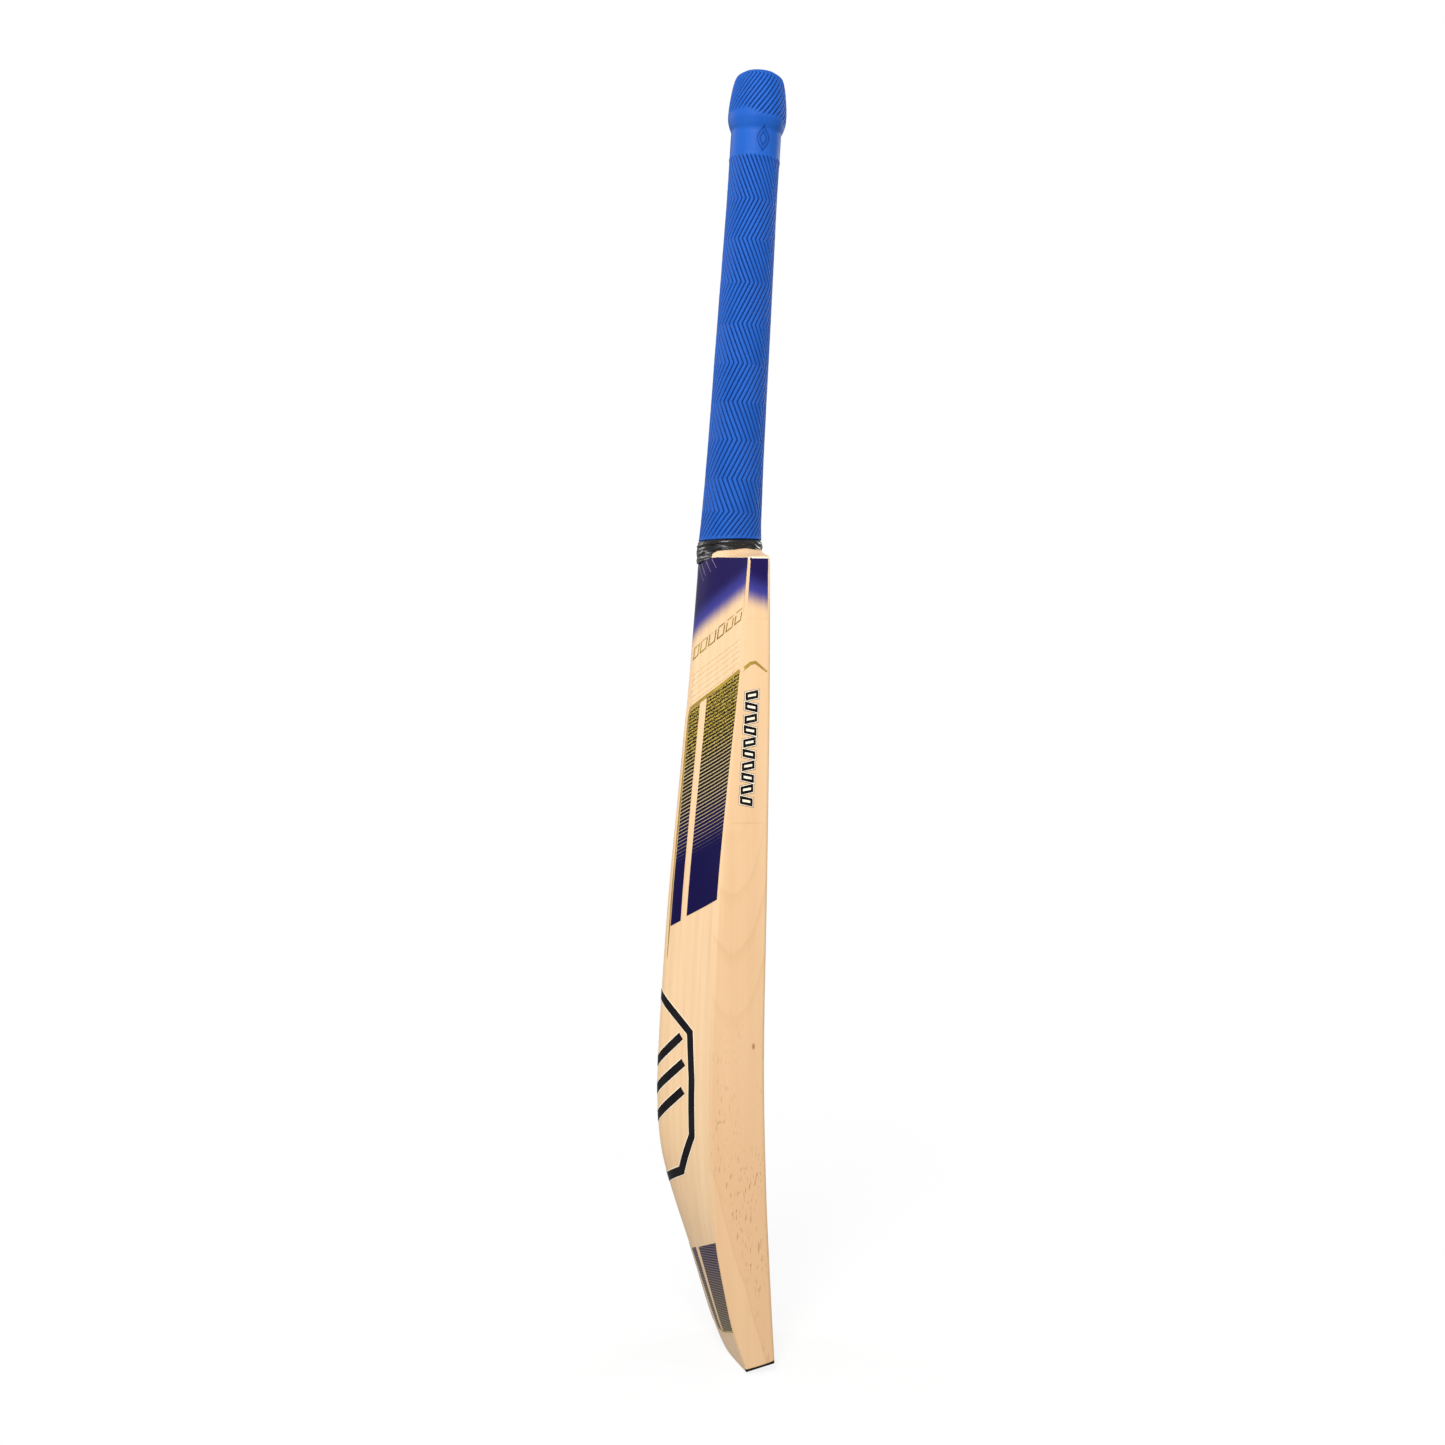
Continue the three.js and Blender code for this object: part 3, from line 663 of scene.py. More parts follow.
def closed_body(rings, bottom_height, top_height):
    """Vertices and quads of a stack of rings with a gridded cap at each end."""
    count = len(rings[0])
    vertices = [tuple(p) for ring in rings for p in ring]
    faces = ring_faces(len(rings), count)
    for r, height_at, turn in ((0, bottom_height, -1), (len(rings) - 1, top_height, 1)):
        inner = cap_points(rings[r], height_at)
        index = np.zeros((SIDE + 1, ACROSS + 1), int)
        index[0], index[:, -1], index[-1], index[:, 0] = four_sides(r * count + np.arange(count))
        index[1:-1, 1:-1] = len(vertices) + np.arange(inner[..., 0].size).reshape(inner.shape[:2])
        vertices += [tuple(p) for p in inner.reshape(-1, 3)]
        for j, i in np.ndindex(SIDE, ACROSS):
            quad = index[j, i], index[j, i + 1], index[j + 1, i + 1], index[j + 1, i]
            faces.append(tuple(int(k) for k in quad[::turn]))
    return vertices, faces


def fillet(steps, radius):
    """(drop, inset) pairs of a quarter round, from the side up to the end."""
    angles = [math.pi / 2 * k / steps for k in range(1, steps + 1)]
    return [(radius * math.sin(a), radius * (1 - math.cos(a))) for a in angles]


def make_blade():
    foot = TOE_GUARD_THICKNESS + TOE_GAP
    rings = [blade_ring(0, foot + rise, 0, inwards, at_back) for rise, inwards, at_back in BLADE_FOOT]
    for k in range(RINGS + 1):
        rings.append(blade_ring(k / RINGS, foot + TOE_ROUND, SHOULDER_FILLET, 0))
    for rise, inwards in fillet(FILLET_STEPS, SHOULDER_FILLET):
        rings.append(blade_ring(1, 0, SHOULDER_FILLET - rise, inwards))
    vertices, faces = closed_body(rings, lambda x, y: toe_z(y) + foot * guard_cover(x, y), shoulder_z)
    blade = new_piece("willow_blade", put(vertices), faces, [willow_material()])
    cut_splice(blade)
    stands_for(blade, "willow", "blade")


def cut_splice(blade):
    """Cuts the V slot that the cane handle is glued into."""
    rows = [(SPLICE_TIP_HALF_WIDTH, BLADE_TOP - SPLICE_DEPTH),
            (SPLICE_TOP_HALF_WIDTH, BLADE_TOP + SPLICE_OVERRUN)]
    ends = (-CUT_REACH, CUT_REACH)
    corners = [(x, y, z) for y in ends for half, z in rows for x in (-half, half)]
    faces = [(0, 1, 3, 2), (4, 6, 7, 5), (0, 4, 5, 1), (2, 3, 7, 6), (0, 2, 6, 4), (1, 5, 7, 3)]
    cutter = new_piece("splice_cutter", put(corners), faces, [])
    modifier = blade.modifiers.new("splice", "BOOLEAN")
    modifier.operation = "DIFFERENCE"
    modifier.solver = "EXACT"
    modifier.object = cutter
    bpy.context.view_layer.update()
    graph = bpy.context.evaluated_depsgraph_get()
    cut_mesh = bpy.data.meshes.new_from_object(blade.evaluated_get(graph))
    blade.modifiers.clear()
    blade.data = cut_mesh
    bpy.data.objects.remove(cutter)
    cut_mesh.set_sharp_from_angle(angle=math.radians(SMOOTH_ANGLE))


def make_toe_guard():
    rings = [blade_ring(0, rise, 0, inwards, GUARD_BACK_INSET) for rise, inwards in GUARD_FOOT]
    vertices, faces = closed_body(
        rings, lambda x, y: toe_z(y),
        lambda x, y: toe_z(y) + TOE_GUARD_THICKNESS * guard_cover(x, y))
    look = Look("toe_guard_rubber", Roughness=0.6, Specular_IOR_Level=0.12)
    scuff = look.whole.grain((140, 140, 140), 4.0, 0.65)
    colour = mix(scuff.remap(0.45, 0.8), (0.003, 0.003, 0.003, 1), (0.014, 0.013, 0.012, 1))
    look.paint(colour, scuff.remap(0.3, 0.8, 0.5, 0.75), scuff.bump(0.3, 0.0004))
    guard = new_piece("toe_guard_sheet", put(vertices), faces, [look.material])
    stands_for(guard, "toe_guard_rubber", "toe_guard")


# ---- Grip ----

RIBS = 36
COLUMNS_PER_RIB = 8
RIB_HEIGHT = 0.85
RIB_SLANT = math.radians(25)
STEEP_BAND = 1.5
START_FADE = 18.0
START_RISE = 0.6
START_TILT = 1.9
# Ends of the slanted bands along the handle, and the smooth stretch under the knob
BAND_ENDS = [8.5, 27, 49.5, 76.5, 102.5, 129.5, 156.5, 185.5, 215.5, 243.5, 274.5]
SMOOTH_END = 300
KNOB_BAND_END = 330.5
KNOB_RIB_TILT = 3.2
KNOB_RIB_WAVE = 0.9
ROWS_PER_BAND = 11
# Extra rows where the profile bends sharply
BEND_ROWS = [289, 290, 291, 292.5, 294, 296, 301.5, 304, 306, 329.5]
# Inside of the sleeve's start and of its mouth
START_LINING = [(GRIP_START + 12, -1.35), (GRIP_START + 0.1, -1.3), (GRIP_START - 0.25, -0.9),
                (GRIP_START - 0.3, -0.45)]
MOUTH_LIP = [(9.3, 0.35), (8.2, 0.1), (7.6, -0.7), (GRIP_MOUTH_RADIUS, -2.0),
             (GRIP_MOUTH_RADIUS, -4.6)]
MARK_ANGLE = math.radians(-84)
MARK_HEIGHT = 285.5
MARK_RELIEF = 0.45
MARK_HALF_WIDTH = 4.2
MARK_HALF_HEIGHT = 8.5
MARK_LINE_WIDTH = 0.8
MARK_LINE_TAPER = 0.12
MARK_STEPS = 28
MARK_LAYERS = 4


def oval(s):
    share = np.clip(s, 0, OVALITY_REACH) / OVALITY_REACH
    return OVALITY_AT_BASE + (OVALITY_AT_KNOB - OVALITY_AT_BASE) * share


def rib_turn(s):
    """How far the ribs have turned round the handle: they zigzag from band to band."""
    turn = 0.0
    ends = BAND_ENDS + [SMOOTH_END, KNOB_BAND_END, HANDLE_LENGTH + 1]
    direction = 1.0
    for low, high in zip(ends, ends[1:]):
        if s <= low:
            break
        reach = min(s, high) - low
        radius = float(grip_radius(min((low + high) / 2, 320)))
        smooth = low == BAND_ENDS[-1]
        steeper = STEEP_BAND if low in (BAND_ENDS[0], SMOOTH_END) else 1.0
        turn += 0 if smooth else direction * reach * math.tan(RIB_SLANT) * steeper / radius
        direction = -direction if not smooth else direction
    return turn


def rib_strength(s, angles):
    """1 where the grip is ribbed, fading out over the smooth stretch and at the ends."""
    knob = SMOOTH_END + 1.5 - KNOB_RIB_TILT * np.cos(angles) + KNOB_RIB_WAVE * np.sin(5 * angles)
    shaft = unit((s - GRIP_START) / 2.0) * unit((BAND_ENDS[-1] - s) / 1.2)
    top = unit((s - knob) / 2.2) * unit((HANDLE_LENGTH - 0.5 - s) / 2.5)
    return np.maximum(shaft, top)


def rib_profile(column):
    """Height across one rib, round on top with a narrow groove."""
    t = (column % COLUMNS_PER_RIB) / COLUMNS_PER_RIB
    return 1 - abs(2 * t - 1) ** 3


def grip_rows():
    rows = [BAND_ENDS[-1] - 1.2, *BEND_ROWS, *np.linspace(KNOB_BAND_END, HANDLE_LENGTH, 6)]
    ends = [GRIP_START] + BAND_ENDS[1:] + [SMOOTH_END, KNOB_BAND_END]
    for low, high in zip(ends, ends[1:]):
        rows += [low + (high - low) * k / ROWS_PER_BAND for k in range(ROWS_PER_BAND)]
        rows += [low + 0.6, high - 0.6]
    return sorted(set(round(float(r), 3) for r in rows))


def make_grip(rubber):
    columns = RIBS * COLUMNS_PER_RIB
    angles = np.arange(columns) / columns * 2 * math.pi
    profile = np.array([rib_profile(c) for c in range(columns)])
    level = np.ones(columns)
    rings = [grip_ring(s, angles, float(grip_radius(s)) + depth) for s, depth in START_LINING]
    heights = [level] * len(rings)
    for s in grip_rows():
        turned = angles + rib_turn(s)
        groove = (profile - 1) * rib_strength(s, turned)
        relief = RIB_HEIGHT * groove + bead(s)
        rings.append(grip_ring(s, turned, float(grip_radius(s)) + relief + lumps(turned, s)))
        heights.append(1 + groove)
    for radius, rise in MOUTH_LIP:
        rings.append(grip_ring(HANDLE_LENGTH + rise, angles + rib_turn(HANDLE_LENGTH), radius))
        heights.append(level)
    points = on_handle(np.array(rings)).reshape(-1, 3)
    faces = ring_faces(len(rings), columns)
    grip = new_piece("ribbed_grip", put(points), faces, [rubber], smooth_angle=80)
    set_relief(grip, np.concatenate(heights))
    stands_for(grip, "grip_rubber", "rubber_grip")


def set_relief(piece, heights):
    """Stores each vertex's height over the grooves, which sets the rubber's painted shade: darker in the
    grooves.
    """
    relief = piece.data.attributes.new("relief", "FLOAT", "POINT")
    relief.data.foreach_set("value", heights)


def grip_ring(s, angles, radius):
    x = radius * oval(s) * np.sin(angles)
    y = -radius * np.cos(angles)
    return np.column_stack([x, y, s + start_rise(angles, s)])


def start_rise(angles, s):
    """How far the start of the grip is pushed up, more at the front than at the back."""
    fade = unit(1 - (s - GRIP_START) / START_FADE)
    return (START_RISE + START_TILT * np.cos(angles)) * fade * fade * (3 - 2 * fade)


def bead(s):
    """The raised end of the ribs under the smooth stretch, and the lip where the grip starts."""
    ends = 0.35 * math.exp(-((s - BAND_ENDS[-1] + 1.2) / 1.1) ** 2)
    return ends + 0.15 * math.exp(-((s - GRIP_START) / 1.2) ** 2)


def lumps(angles, s):
    """Slight unevenness of a sleeve pulled over wound twine."""
    return np.array([0.07 * noise.noise((2 * math.cos(a), 2 * math.sin(a), s / 14)) for a in angles])


def on_grip(around, s, lift):
    """Points on the smooth stretch of the grip; around is a distance in millimetres."""
    radius = grip_radius(s)
    angle = MARK_ANGLE + around / radius
    reach = radius + lift[..., 0]
    return on_handle(np.stack([reach * oval(s) * np.sin(angle), -reach * np.cos(angle), s], -1))


def make_grip_mark(rubber):
    """A small raised mark: nested rounded lozenges."""
    mark = Print(on_grip)
    turns = [2 * math.pi * k / MARK_STEPS for k in range(MARK_STEPS)]
    for size in (1.0, 0.55):
        outline = [(size * MARK_HALF_WIDTH * math.sin(a) ** 3,
                    MARK_HEIGHT + size * MARK_HALF_HEIGHT * math.cos(a)) for a in turns]
        for layer in range(MARK_LAYERS):
            width = MARK_LINE_WIDTH - MARK_LINE_TAPER * layer
            mark.line(outline, width, layer=layer, closed=True)
    piece = mark.make("grip_mark", [rubber], "grip_rubber")
    set_relief(piece, [MARK_RELIEF] * len(mark.vertices))


def grip_material():
    look = Look("grip_rubber", Roughness=0.6, Specular_IOR_Level=0.12)
    relief = Field(node(look.tree, "ShaderNodeAttribute", attribute_name="relief").outputs["Fac"])
    worn = look.whole.grain((60, 60, 25), 3.0, 0.6)
    colour = mix(worn.remap(0.3, 0.7), (0.0085, 0.078, 0.365, 1), (0.012, 0.094, 0.42, 1))
    # Painted shade: the rubber is darkened in the grooves, where the relief is low
    colour = mix(relief.remap(0.05, 0.95), (0.002, 0.018, 0.12, 1), colour)
    pores = look.whole.grain((2600, 2600, 2600))
    return look.paint(colour, worn.remap(0.3, 0.7, 0.48, 0.62), pores.bump(0.12, 0.0001))


# ---- Neck tape ----

TAPE_COLUMNS = 200
TAPE_ROWS = 26
TAPE_RADIUS = 22.4
TAPE_WALL = 0.35
TAPE_END_TUCK = 0.25
TAPE_RAGGED = 0.45
TAPE_SINK_START = 1.5
TAPE_SINK_REACH = 3.0
# Profile under the grip, as (distance along the handle, radius)
TAPE_LINE = [(-12, TAPE_RADIUS), (2, TAPE_RADIUS), (4.5, 22.6), (6.6, 22.5), (7.7, 22.0), (8.3, 21.2),
             (9.5, 20.3)]
TAPE_TOP = TAPE_LINE[-1][0]
# Height of the tape's lower edge from the front round to the ridge, as (Y, height)
TAPE_EDGE = [(-27, 550.4), (-20, 551.0), (-12, 551.6), (-5, 550.4), (-1, 548.5), (3, 546.0), (7, 544.7),
             (12, 543.8), (16, 542.9), (20, 541.8)]


def make_neck_tape():
    """Thin tape wound under the grip, wrinkled, and pulled down over the top of the ridge."""
    radius_at = curve_through(TAPE_LINE)
    edge_at = curve_through(TAPE_EDGE)
    rings = []
    for column in range(TAPE_COLUMNS):
        a = 2 * math.pi * column / TAPE_COLUMNS
        front = TAPE_RADIUS * math.cos(a)
        ragged = TAPE_RAGGED * noise.noise((3.1 * math.cos(a), 3.1 * math.sin(a), 4.7))
        edge = float(edge_at(HANDLE_BASE_Y - front)) - HANDLE_BASE_Z
        end = edge + front * math.sin(HANDLE_LEAN) + ragged
        outer, inner = [], []
        for row in range(TAPE_ROWS):
            s = TAPE_TOP + (end - TAPE_TOP) * row / (TAPE_ROWS - 1)
            radius = float(radius_at(s)) + wrinkle(a, s) * unit((TAPE_TOP - s) / 2.2)
            s += float(start_rise(a, GRIP_START)) * unit((s - end) / (TAPE_TOP - end))
            if row == TAPE_ROWS - 1:
                radius -= TAPE_END_TUCK
            outer.append(over_blade(on_handle(round_handle(a, radius, s))))
            inner.append(over_blade(on_handle(round_handle(a, radius - TAPE_WALL, s)), 0.1))
        rings += outer + inner[::-1]
    faces = ring_faces(TAPE_COLUMNS, 2 * TAPE_ROWS, wrap=True)
    look = Look("neck_tape", Specular_IOR_Level=0.35)
    crease = look.whole.grain((70, 70, 420))
    scuff = look.whole.grain((500, 500, 500), 3.0)
    colour = mix(scuff, (0.004, 0.004, 0.005, 1), (0.014, 0.013, 0.014, 1))
    look.paint(colour, scuff.remap(0.3, 0.7, 0.26, 0.38), crease.bump(0.6, 0.0012))
    tape = new_piece("wound_neck_tape", put(rings), faces, [look.material], smooth_angle=60)
    stands_for(tape, "neck_tape", "neck_tape")


def round_handle(angle, radius, s):
    return np.array([radius * OVALITY_AT_BASE * math.sin(angle), -radius * math.cos(angle), s])


def wrinkle(angle, s):
    """Folds that run round the handle and drift up and down."""
    drift = s + 1.6 * math.sin(angle + 0.6) + 0.8 * math.sin(2.3 * angle)
    fold = noise.noise((1.6 * math.cos(angle), 1.6 * math.sin(angle), 0.62 * drift))
    crease = noise.noise((4.5 * math.cos(angle), 4.5 * math.sin(angle), 1.5 * drift + 9))
    return 0.75 * fold + 0.3 * crease


def over_blade(point, clearance=0.5):
    """Pushes a point of the tape out to the back of the blade where it lies below the shoulders."""
    x, y, z = point
    sunk = unit((shoulder_z(x, y) + TAPE_SINK_START - z) / TAPE_SINK_REACH)
    if y < 0:
        return point
    return np.array([x, y + sunk * max(0.0, float(back_y(x, z)) + clearance - y), z])


# ---- Prints ----

FILM_LIFT = 0.05
FILM_THICKNESS = 0.08
PATCH_STEP = 2.0
FILM_END = 365.4


def on_back(x, z, lift):
    """Points a little above the back."""
    d = 0.05
    y = back_y(x, z)
    slope_x = (back_y(x + d, z) - back_y(x - d, z)) / (2 * d)
    slope_z = (back_y(x, z + d) - back_y(x, z - d)) / (2 * d)
    normal = np.stack([-slope_x, np.ones_like(y), -slope_z], -1)
    normal /= np.linalg.norm(normal, axis=-1)[..., None]
    return np.stack([x, y, z], -1) + normal * lift


def on_face(x, z, lift):
    """Points a little above the hitting face."""
    return np.stack([x, front_y(x, z), z], -1) - np.array([0, 1, 0]) * lift


def on_edge(side):
    """A surface function for one edge, whose first number is Y."""

    def surface(y, z, lift):
        start = face_y(z) + FACE_CORNER_RADIUS
        end = edge_y(z) - BACK_CORNER_RADIUS
        t = (y - start) / (end - start)
        before = unit((start - y) / FACE_CORNER_RADIUS)
        after = unit((y - end) / BACK_CORNER_RADIUS)
        drop = FACE_CORNER_RADIUS * (1 - np.sqrt(1 - before**2))
        drop = drop + BACK_CORNER_RADIUS * (1 - np.sqrt(1 - after**2))
        x = half_width(z) - EDGE_BULGE * np.clip(2 * t - 1, -1, 1) ** 2 - drop
        return np.stack([x * side, y, z], -1) + np.array([side, 0, 0]) * lift

    return surface


class Print:
    """Thin closed sheets that follow a surface, gathered into one piece."""

    def __init__(self, surface):
        self.surface = surface
        self.vertices = []
        self.faces = []
        self.kinds = []

    def sheet(self, flat, kind=0, layer=0, wrap=False, tucked=False):
        """flat is a grid of places on the surface; layers lie on top of each other."""
        rows, columns = flat.shape[:2]
        low = np.full((rows, columns), FILM_LIFT + layer * FILM_THICKNESS)
        if tucked:
            low[0] -= 4 * FILM_THICKNESS
        under = self.surface(flat[..., 0], flat[..., 1], low[..., None])
        over = self.surface(flat[..., 0], flat[..., 1], low[..., None] + FILM_THICKNESS)
        first = len(self.vertices)
        rings = np.concatenate([over, under[:, ::-1]], 1)
        self.vertices += [tuple(p) for p in rings.reshape(-1, 3)]
        count = 2 * columns
        made = ring_faces(rows, count, wrap)
        for r, turn in () if wrap else ((0, -1), (rows - 1, 1)):
            for c in range(columns - 1):
                end = (c, c + 1, count - 2 - c, count - 1 - c)
                made.append(tuple(r * count + k for k in end[::turn]))
        outward = over[0, 0] - under[0, 0]
        side = np.cross(over[0, 1] - over[0, 0], over[1, 1] - over[0, 0])
        turn = 1 if np.dot(side, outward) > 0 else -1
        self.faces += [tuple(first + k for k in face[::turn]) for face in made]
        self.kinds += [kind] * len(made)


    def patch(self, corners, kind=0, layer=0):
        """A four-cornered sheet."""
        a, b, c, d = (np.array(p, float) for p in corners)
        across = max(np.linalg.norm(b - a), np.linalg.norm(c - d))
        along = max(np.linalg.norm(d - a), np.linalg.norm(c - b))
        u = np.linspace(0, 1, max(2, int(across / PATCH_STEP) + 2))[None, :, None]
        v = np.linspace(0, 1, max(2, int(along / PATCH_STEP) + 2))[:, None, None]
        flat = (1 - u) * (1 - v) * a + u * (1 - v) * b + u * v * c + (1 - u) * v * d
        self.sheet(flat, kind, layer)

    def line(self, points, width, kind=0, layer=0, closed=False):
        """A line with mitred corners. width is one number, or one for each point."""
        points = np.array(points, float)
        widths = np.broadcast_to(np.asarray(width, float), len(points))
        count = len(points)
        before = np.roll(points, 1, 0)
        after = np.roll(points, -1, 0)
        if not closed:
            before[0] = 2 * points[0] - points[1]
            after[-1] = 2 * points[-1] - points[-2]
        into = (points - before) / np.linalg.norm(points - before, axis=1)[:, None]
        out = (after - points) / np.linalg.norm(after - points, axis=1)[:, None]
        mitre = into + out
        mitre /= np.linalg.norm(mitre, axis=1)[:, None]
        across = np.stack([-mitre[:, 1], mitre[:, 0]], 1)
        stretch = 1 / np.maximum(np.sum(mitre * out, axis=1), 0.35)
        reach = across * (stretch * widths / 2)[:, None]
        left, right = points + reach, points - reach
        rows = []
        for k in range(count if closed else count - 1):
            j = (k + 1) % count
            steps = max(1, int(np.linalg.norm(points[j] - points[k]) / PATCH_STEP))
            for t in np.arange(steps) / steps:
                rows.append((left[k] * (1 - t) + left[j] * t, right[k] * (1 - t) + right[j] * t))
        if not closed:
            rows.append((left[-1], right[-1]))
        flat = np.array(rows)
        middle = flat.mean(1, keepdims=True)
        flat = np.concatenate([flat[:, :1], middle, flat[:, 1:]], 1)
        self.sheet(flat, kind, layer, wrap=closed)

    def make(self, name, materials, slot, *nodes):
        piece = new_piece(name, put(self.vertices), self.faces, materials, self.kinds, smooth_angle=40)
        stands_for(piece, slot, *nodes)
        return piece


NAVY = (0.012, 0.007, 0.066, 1)
BAND_NAVY = (0.0035, 0.0018, 0.047, 1)
BLUE = (0.040, 0.040, 0.23, 1)
CREAM = (0.90, 0.79, 0.62, 1)
CREAM_DARK = (0.86, 0.73, 0.55, 1)
STRIPE_CREAM = (0.46, 0.35, 0.18, 1)
INK = (0.005, 0.004, 0.005, 1)
INK_LIGHT = (0.009, 0.008, 0.010, 1)
GOLD_LIGHT = (0.46, 0.33, 0.055, 1)
GOLD_DARK = (0.22, 0.13, 0.025, 1)
BRIGHT_GOLD = (0.50, 0.34, 0.06, 1)
BRIGHT_GOLD_DARK = (0.30, 0.19, 0.035, 1)
ROSE = (0.30, 0.20, 0.26, 1)
ROSE_DARK = (0.20, 0.13, 0.20, 1)
# Toe band from its top to the toe: the light stripes, then the dark ones
TOE_LIGHT = ((0.17, 0.12, 0.17, 1), (0.24, 0.17, 0.075, 1))
TOE_DARK = ((0.012, 0.006, 0.020, 1), (0.055, 0.036, 0.012, 1))
FILM_ROUGHNESS = 0.3
FILM_SPECULAR = 0.08
BACK_FADE_SLOPE, BACK_FADE_HEIGHT = 0.60, 490.0
EDGE_FADE_SLOPE, EDGE_FADE_HEIGHT = 0.32, 518.0
STRIPE_SLOPE = 0.46
STRIPE_PITCH = 2.6
STRIPE_WIDTHS = [(0.0, 0.0), (0.08, 0.03), (0.35, 0.15), (0.7, 0.17), (0.88, 0.18), (1.0, 0.22)]
BAND_INNER = 22.0
TOE_STRIPE_SLOPE = 0.2
TOE_STRIPE_PITCH = 1.75


def film_look(name):
    return Look(name, Roughness=FILM_ROUGHNESS, Specular_IOR_Level=FILM_SPECULAR)


def fade_material(name, fade_height):
    """Navy that turns blue and then fades into the wood below fade_height(across, depth)."""
    look = film_look(name)
    across, depth, upward = look.drawing_place()
    wobble = (look.whole.grain((300, 300, 60)) - 0.5) * 1.6
    above = wobble + (upward - fade_height(across, depth))
    ink = mix(above.smooth(3.0, 21.0), BLUE, NAVY)
    return look.paint(mix(above.smooth(-9.0, 8.5), look.wood()[0], ink))


def plain_print(name, first, second, metallic=0.0):
    """One printed colour with a slight cloudiness."""
    look = Look(name, Metallic=metallic, Specular_IOR_Level=FILM_SPECULAR)
    cloud = look.whole.grain((90, 90, 60), 3.0)
    rough = cloud.remap(0.3, 0.7, FILM_ROUGHNESS * 0.8, FILM_ROUGHNESS * 1.3)
    return look.paint(mix(cloud.remap(0.35, 0.65), first, second), rough)


def band_material():
    """Slanted stripes: gold and speckled at the top, cream on black, then thinning into navy."""
    look = film_look("band_print")
    across, _, upward = look.drawing_place()
    height = across * -STRIPE_SLOPE + upward + BAND_INNER * STRIPE_SLOPE
    wave = (height / STRIPE_PITCH).maths("PINGPONG", 0.5)
    width = height.remap(336.0, 455.0).ramp(STRIPE_WIDTHS)
    ragged = (look.whole.grain((1500, 1500, 1500), 1.0) - 0.5) * height.smooth(380.0, 455.0)
    line = (width - (ragged * 2.2 + wave)).smooth(-0.04, 0.04) * height.smooth(336.0, 356.0)
    base = mix(height.smooth(345.0, 395.0), BAND_NAVY, INK)
    return look.paint(mix(line, base, mix(height.smooth(390.0, 430.0), STRIPE_CREAM, GOLD_LIGHT)))


def toe_band_material():
    """Level stripes that turn from violet grey to olive down to the toe."""
    look = film_look("toe_band_print")
    across, _, upward = look.drawing_place()
    level = across * -TOE_STRIPE_SLOPE + upward
    wave = (level / TOE_STRIPE_PITCH).maths("PINGPONG", 0.5)
    down = upward.remap(78.0, 24.0)
    return look.paint(mix(wave.smooth(0.24, 0.4), mix(down, *TOE_DARK), mix(down, *TOE_LIGHT)))


def pinstripe_material():
    """A line a little darker than the wood under it."""
    look = film_look("pinstripe_print")
    return look.paint(mix(0.3, look.wood()[0], WILLOW_DARK))


def mirrored(corners, side):
    return [(x * side, z) for x, z in corners]


def make_prints():
    gold = plain_print("gold_print", GOLD_LIGHT, GOLD_DARK, metallic=0.35)
    bright_gold = plain_print("bright_gold_print", BRIGHT_GOLD, BRIGHT_GOLD_DARK, metallic=0.3)
    cream = plain_print("cream_print", CREAM, CREAM_DARK)
    ink = plain_print("black_print", INK, INK_LIGHT)
    rose = plain_print("rose_print", ROSE, ROSE_DARK)
    pinstripe = pinstripe_material()
    band = band_material()
    toe_band = toe_band_material()
    make_shoulder_labels(rose, cream)
    make_emblem(ink, cream)
    for word, side in (("left", -1), ("right", 1)):
        make_title(word, side, [gold, pinstripe])
        make_band_label("side", word, side, [band, bright_gold], *SIDE_LABEL)
        make_edge_marks(word, side, [ink, cream, bright_gold, pinstripe])
        make_band_label("toe", word, side, [toe_band, bright_gold], *TOE_LABEL)


SHOULDER_LABEL_STEPS = (26, 72)
SHOULDER_LABEL_FOOT = 478.0
SHOULDER_LABEL_FOOT_RISE = 28.0
SHOULDER_LABEL_TOP = [(0, 544.6), (24, 544.9), (38, 543.7), (46, 543.0), (60, 542.8)]
BACK_LABEL_REACH = 51.3
FACE_LABEL_REACH = 49.0
# Rose rays below the handle, as (distance from the middle, height)
RAYS = [(2.5, 541.0), (6.5, 542.2), (12.5, 543.6), (19, 544.2)]


def shoulder_sheet(surface, reach):
    label = Print(surface)
    rows, columns = SHOULDER_LABEL_STEPS
    xs = np.linspace(-reach, reach, columns)
    bottom = SHOULDER_LABEL_FOOT + SHOULDER_LABEL_FOOT_RISE * np.abs(xs) / reach
    places = [min(place, reach) for place, _ in SHOULDER_LABEL_TOP]
    top = np.interp(np.abs(xs), places, [height for _, height in SHOULDER_LABEL_TOP])
    zs = bottom + (top - bottom) * np.linspace(0, 1, rows)[:, None]
    label.sheet(np.stack([np.broadcast_to(xs, zs.shape), zs], -1), tucked=True)
    return label


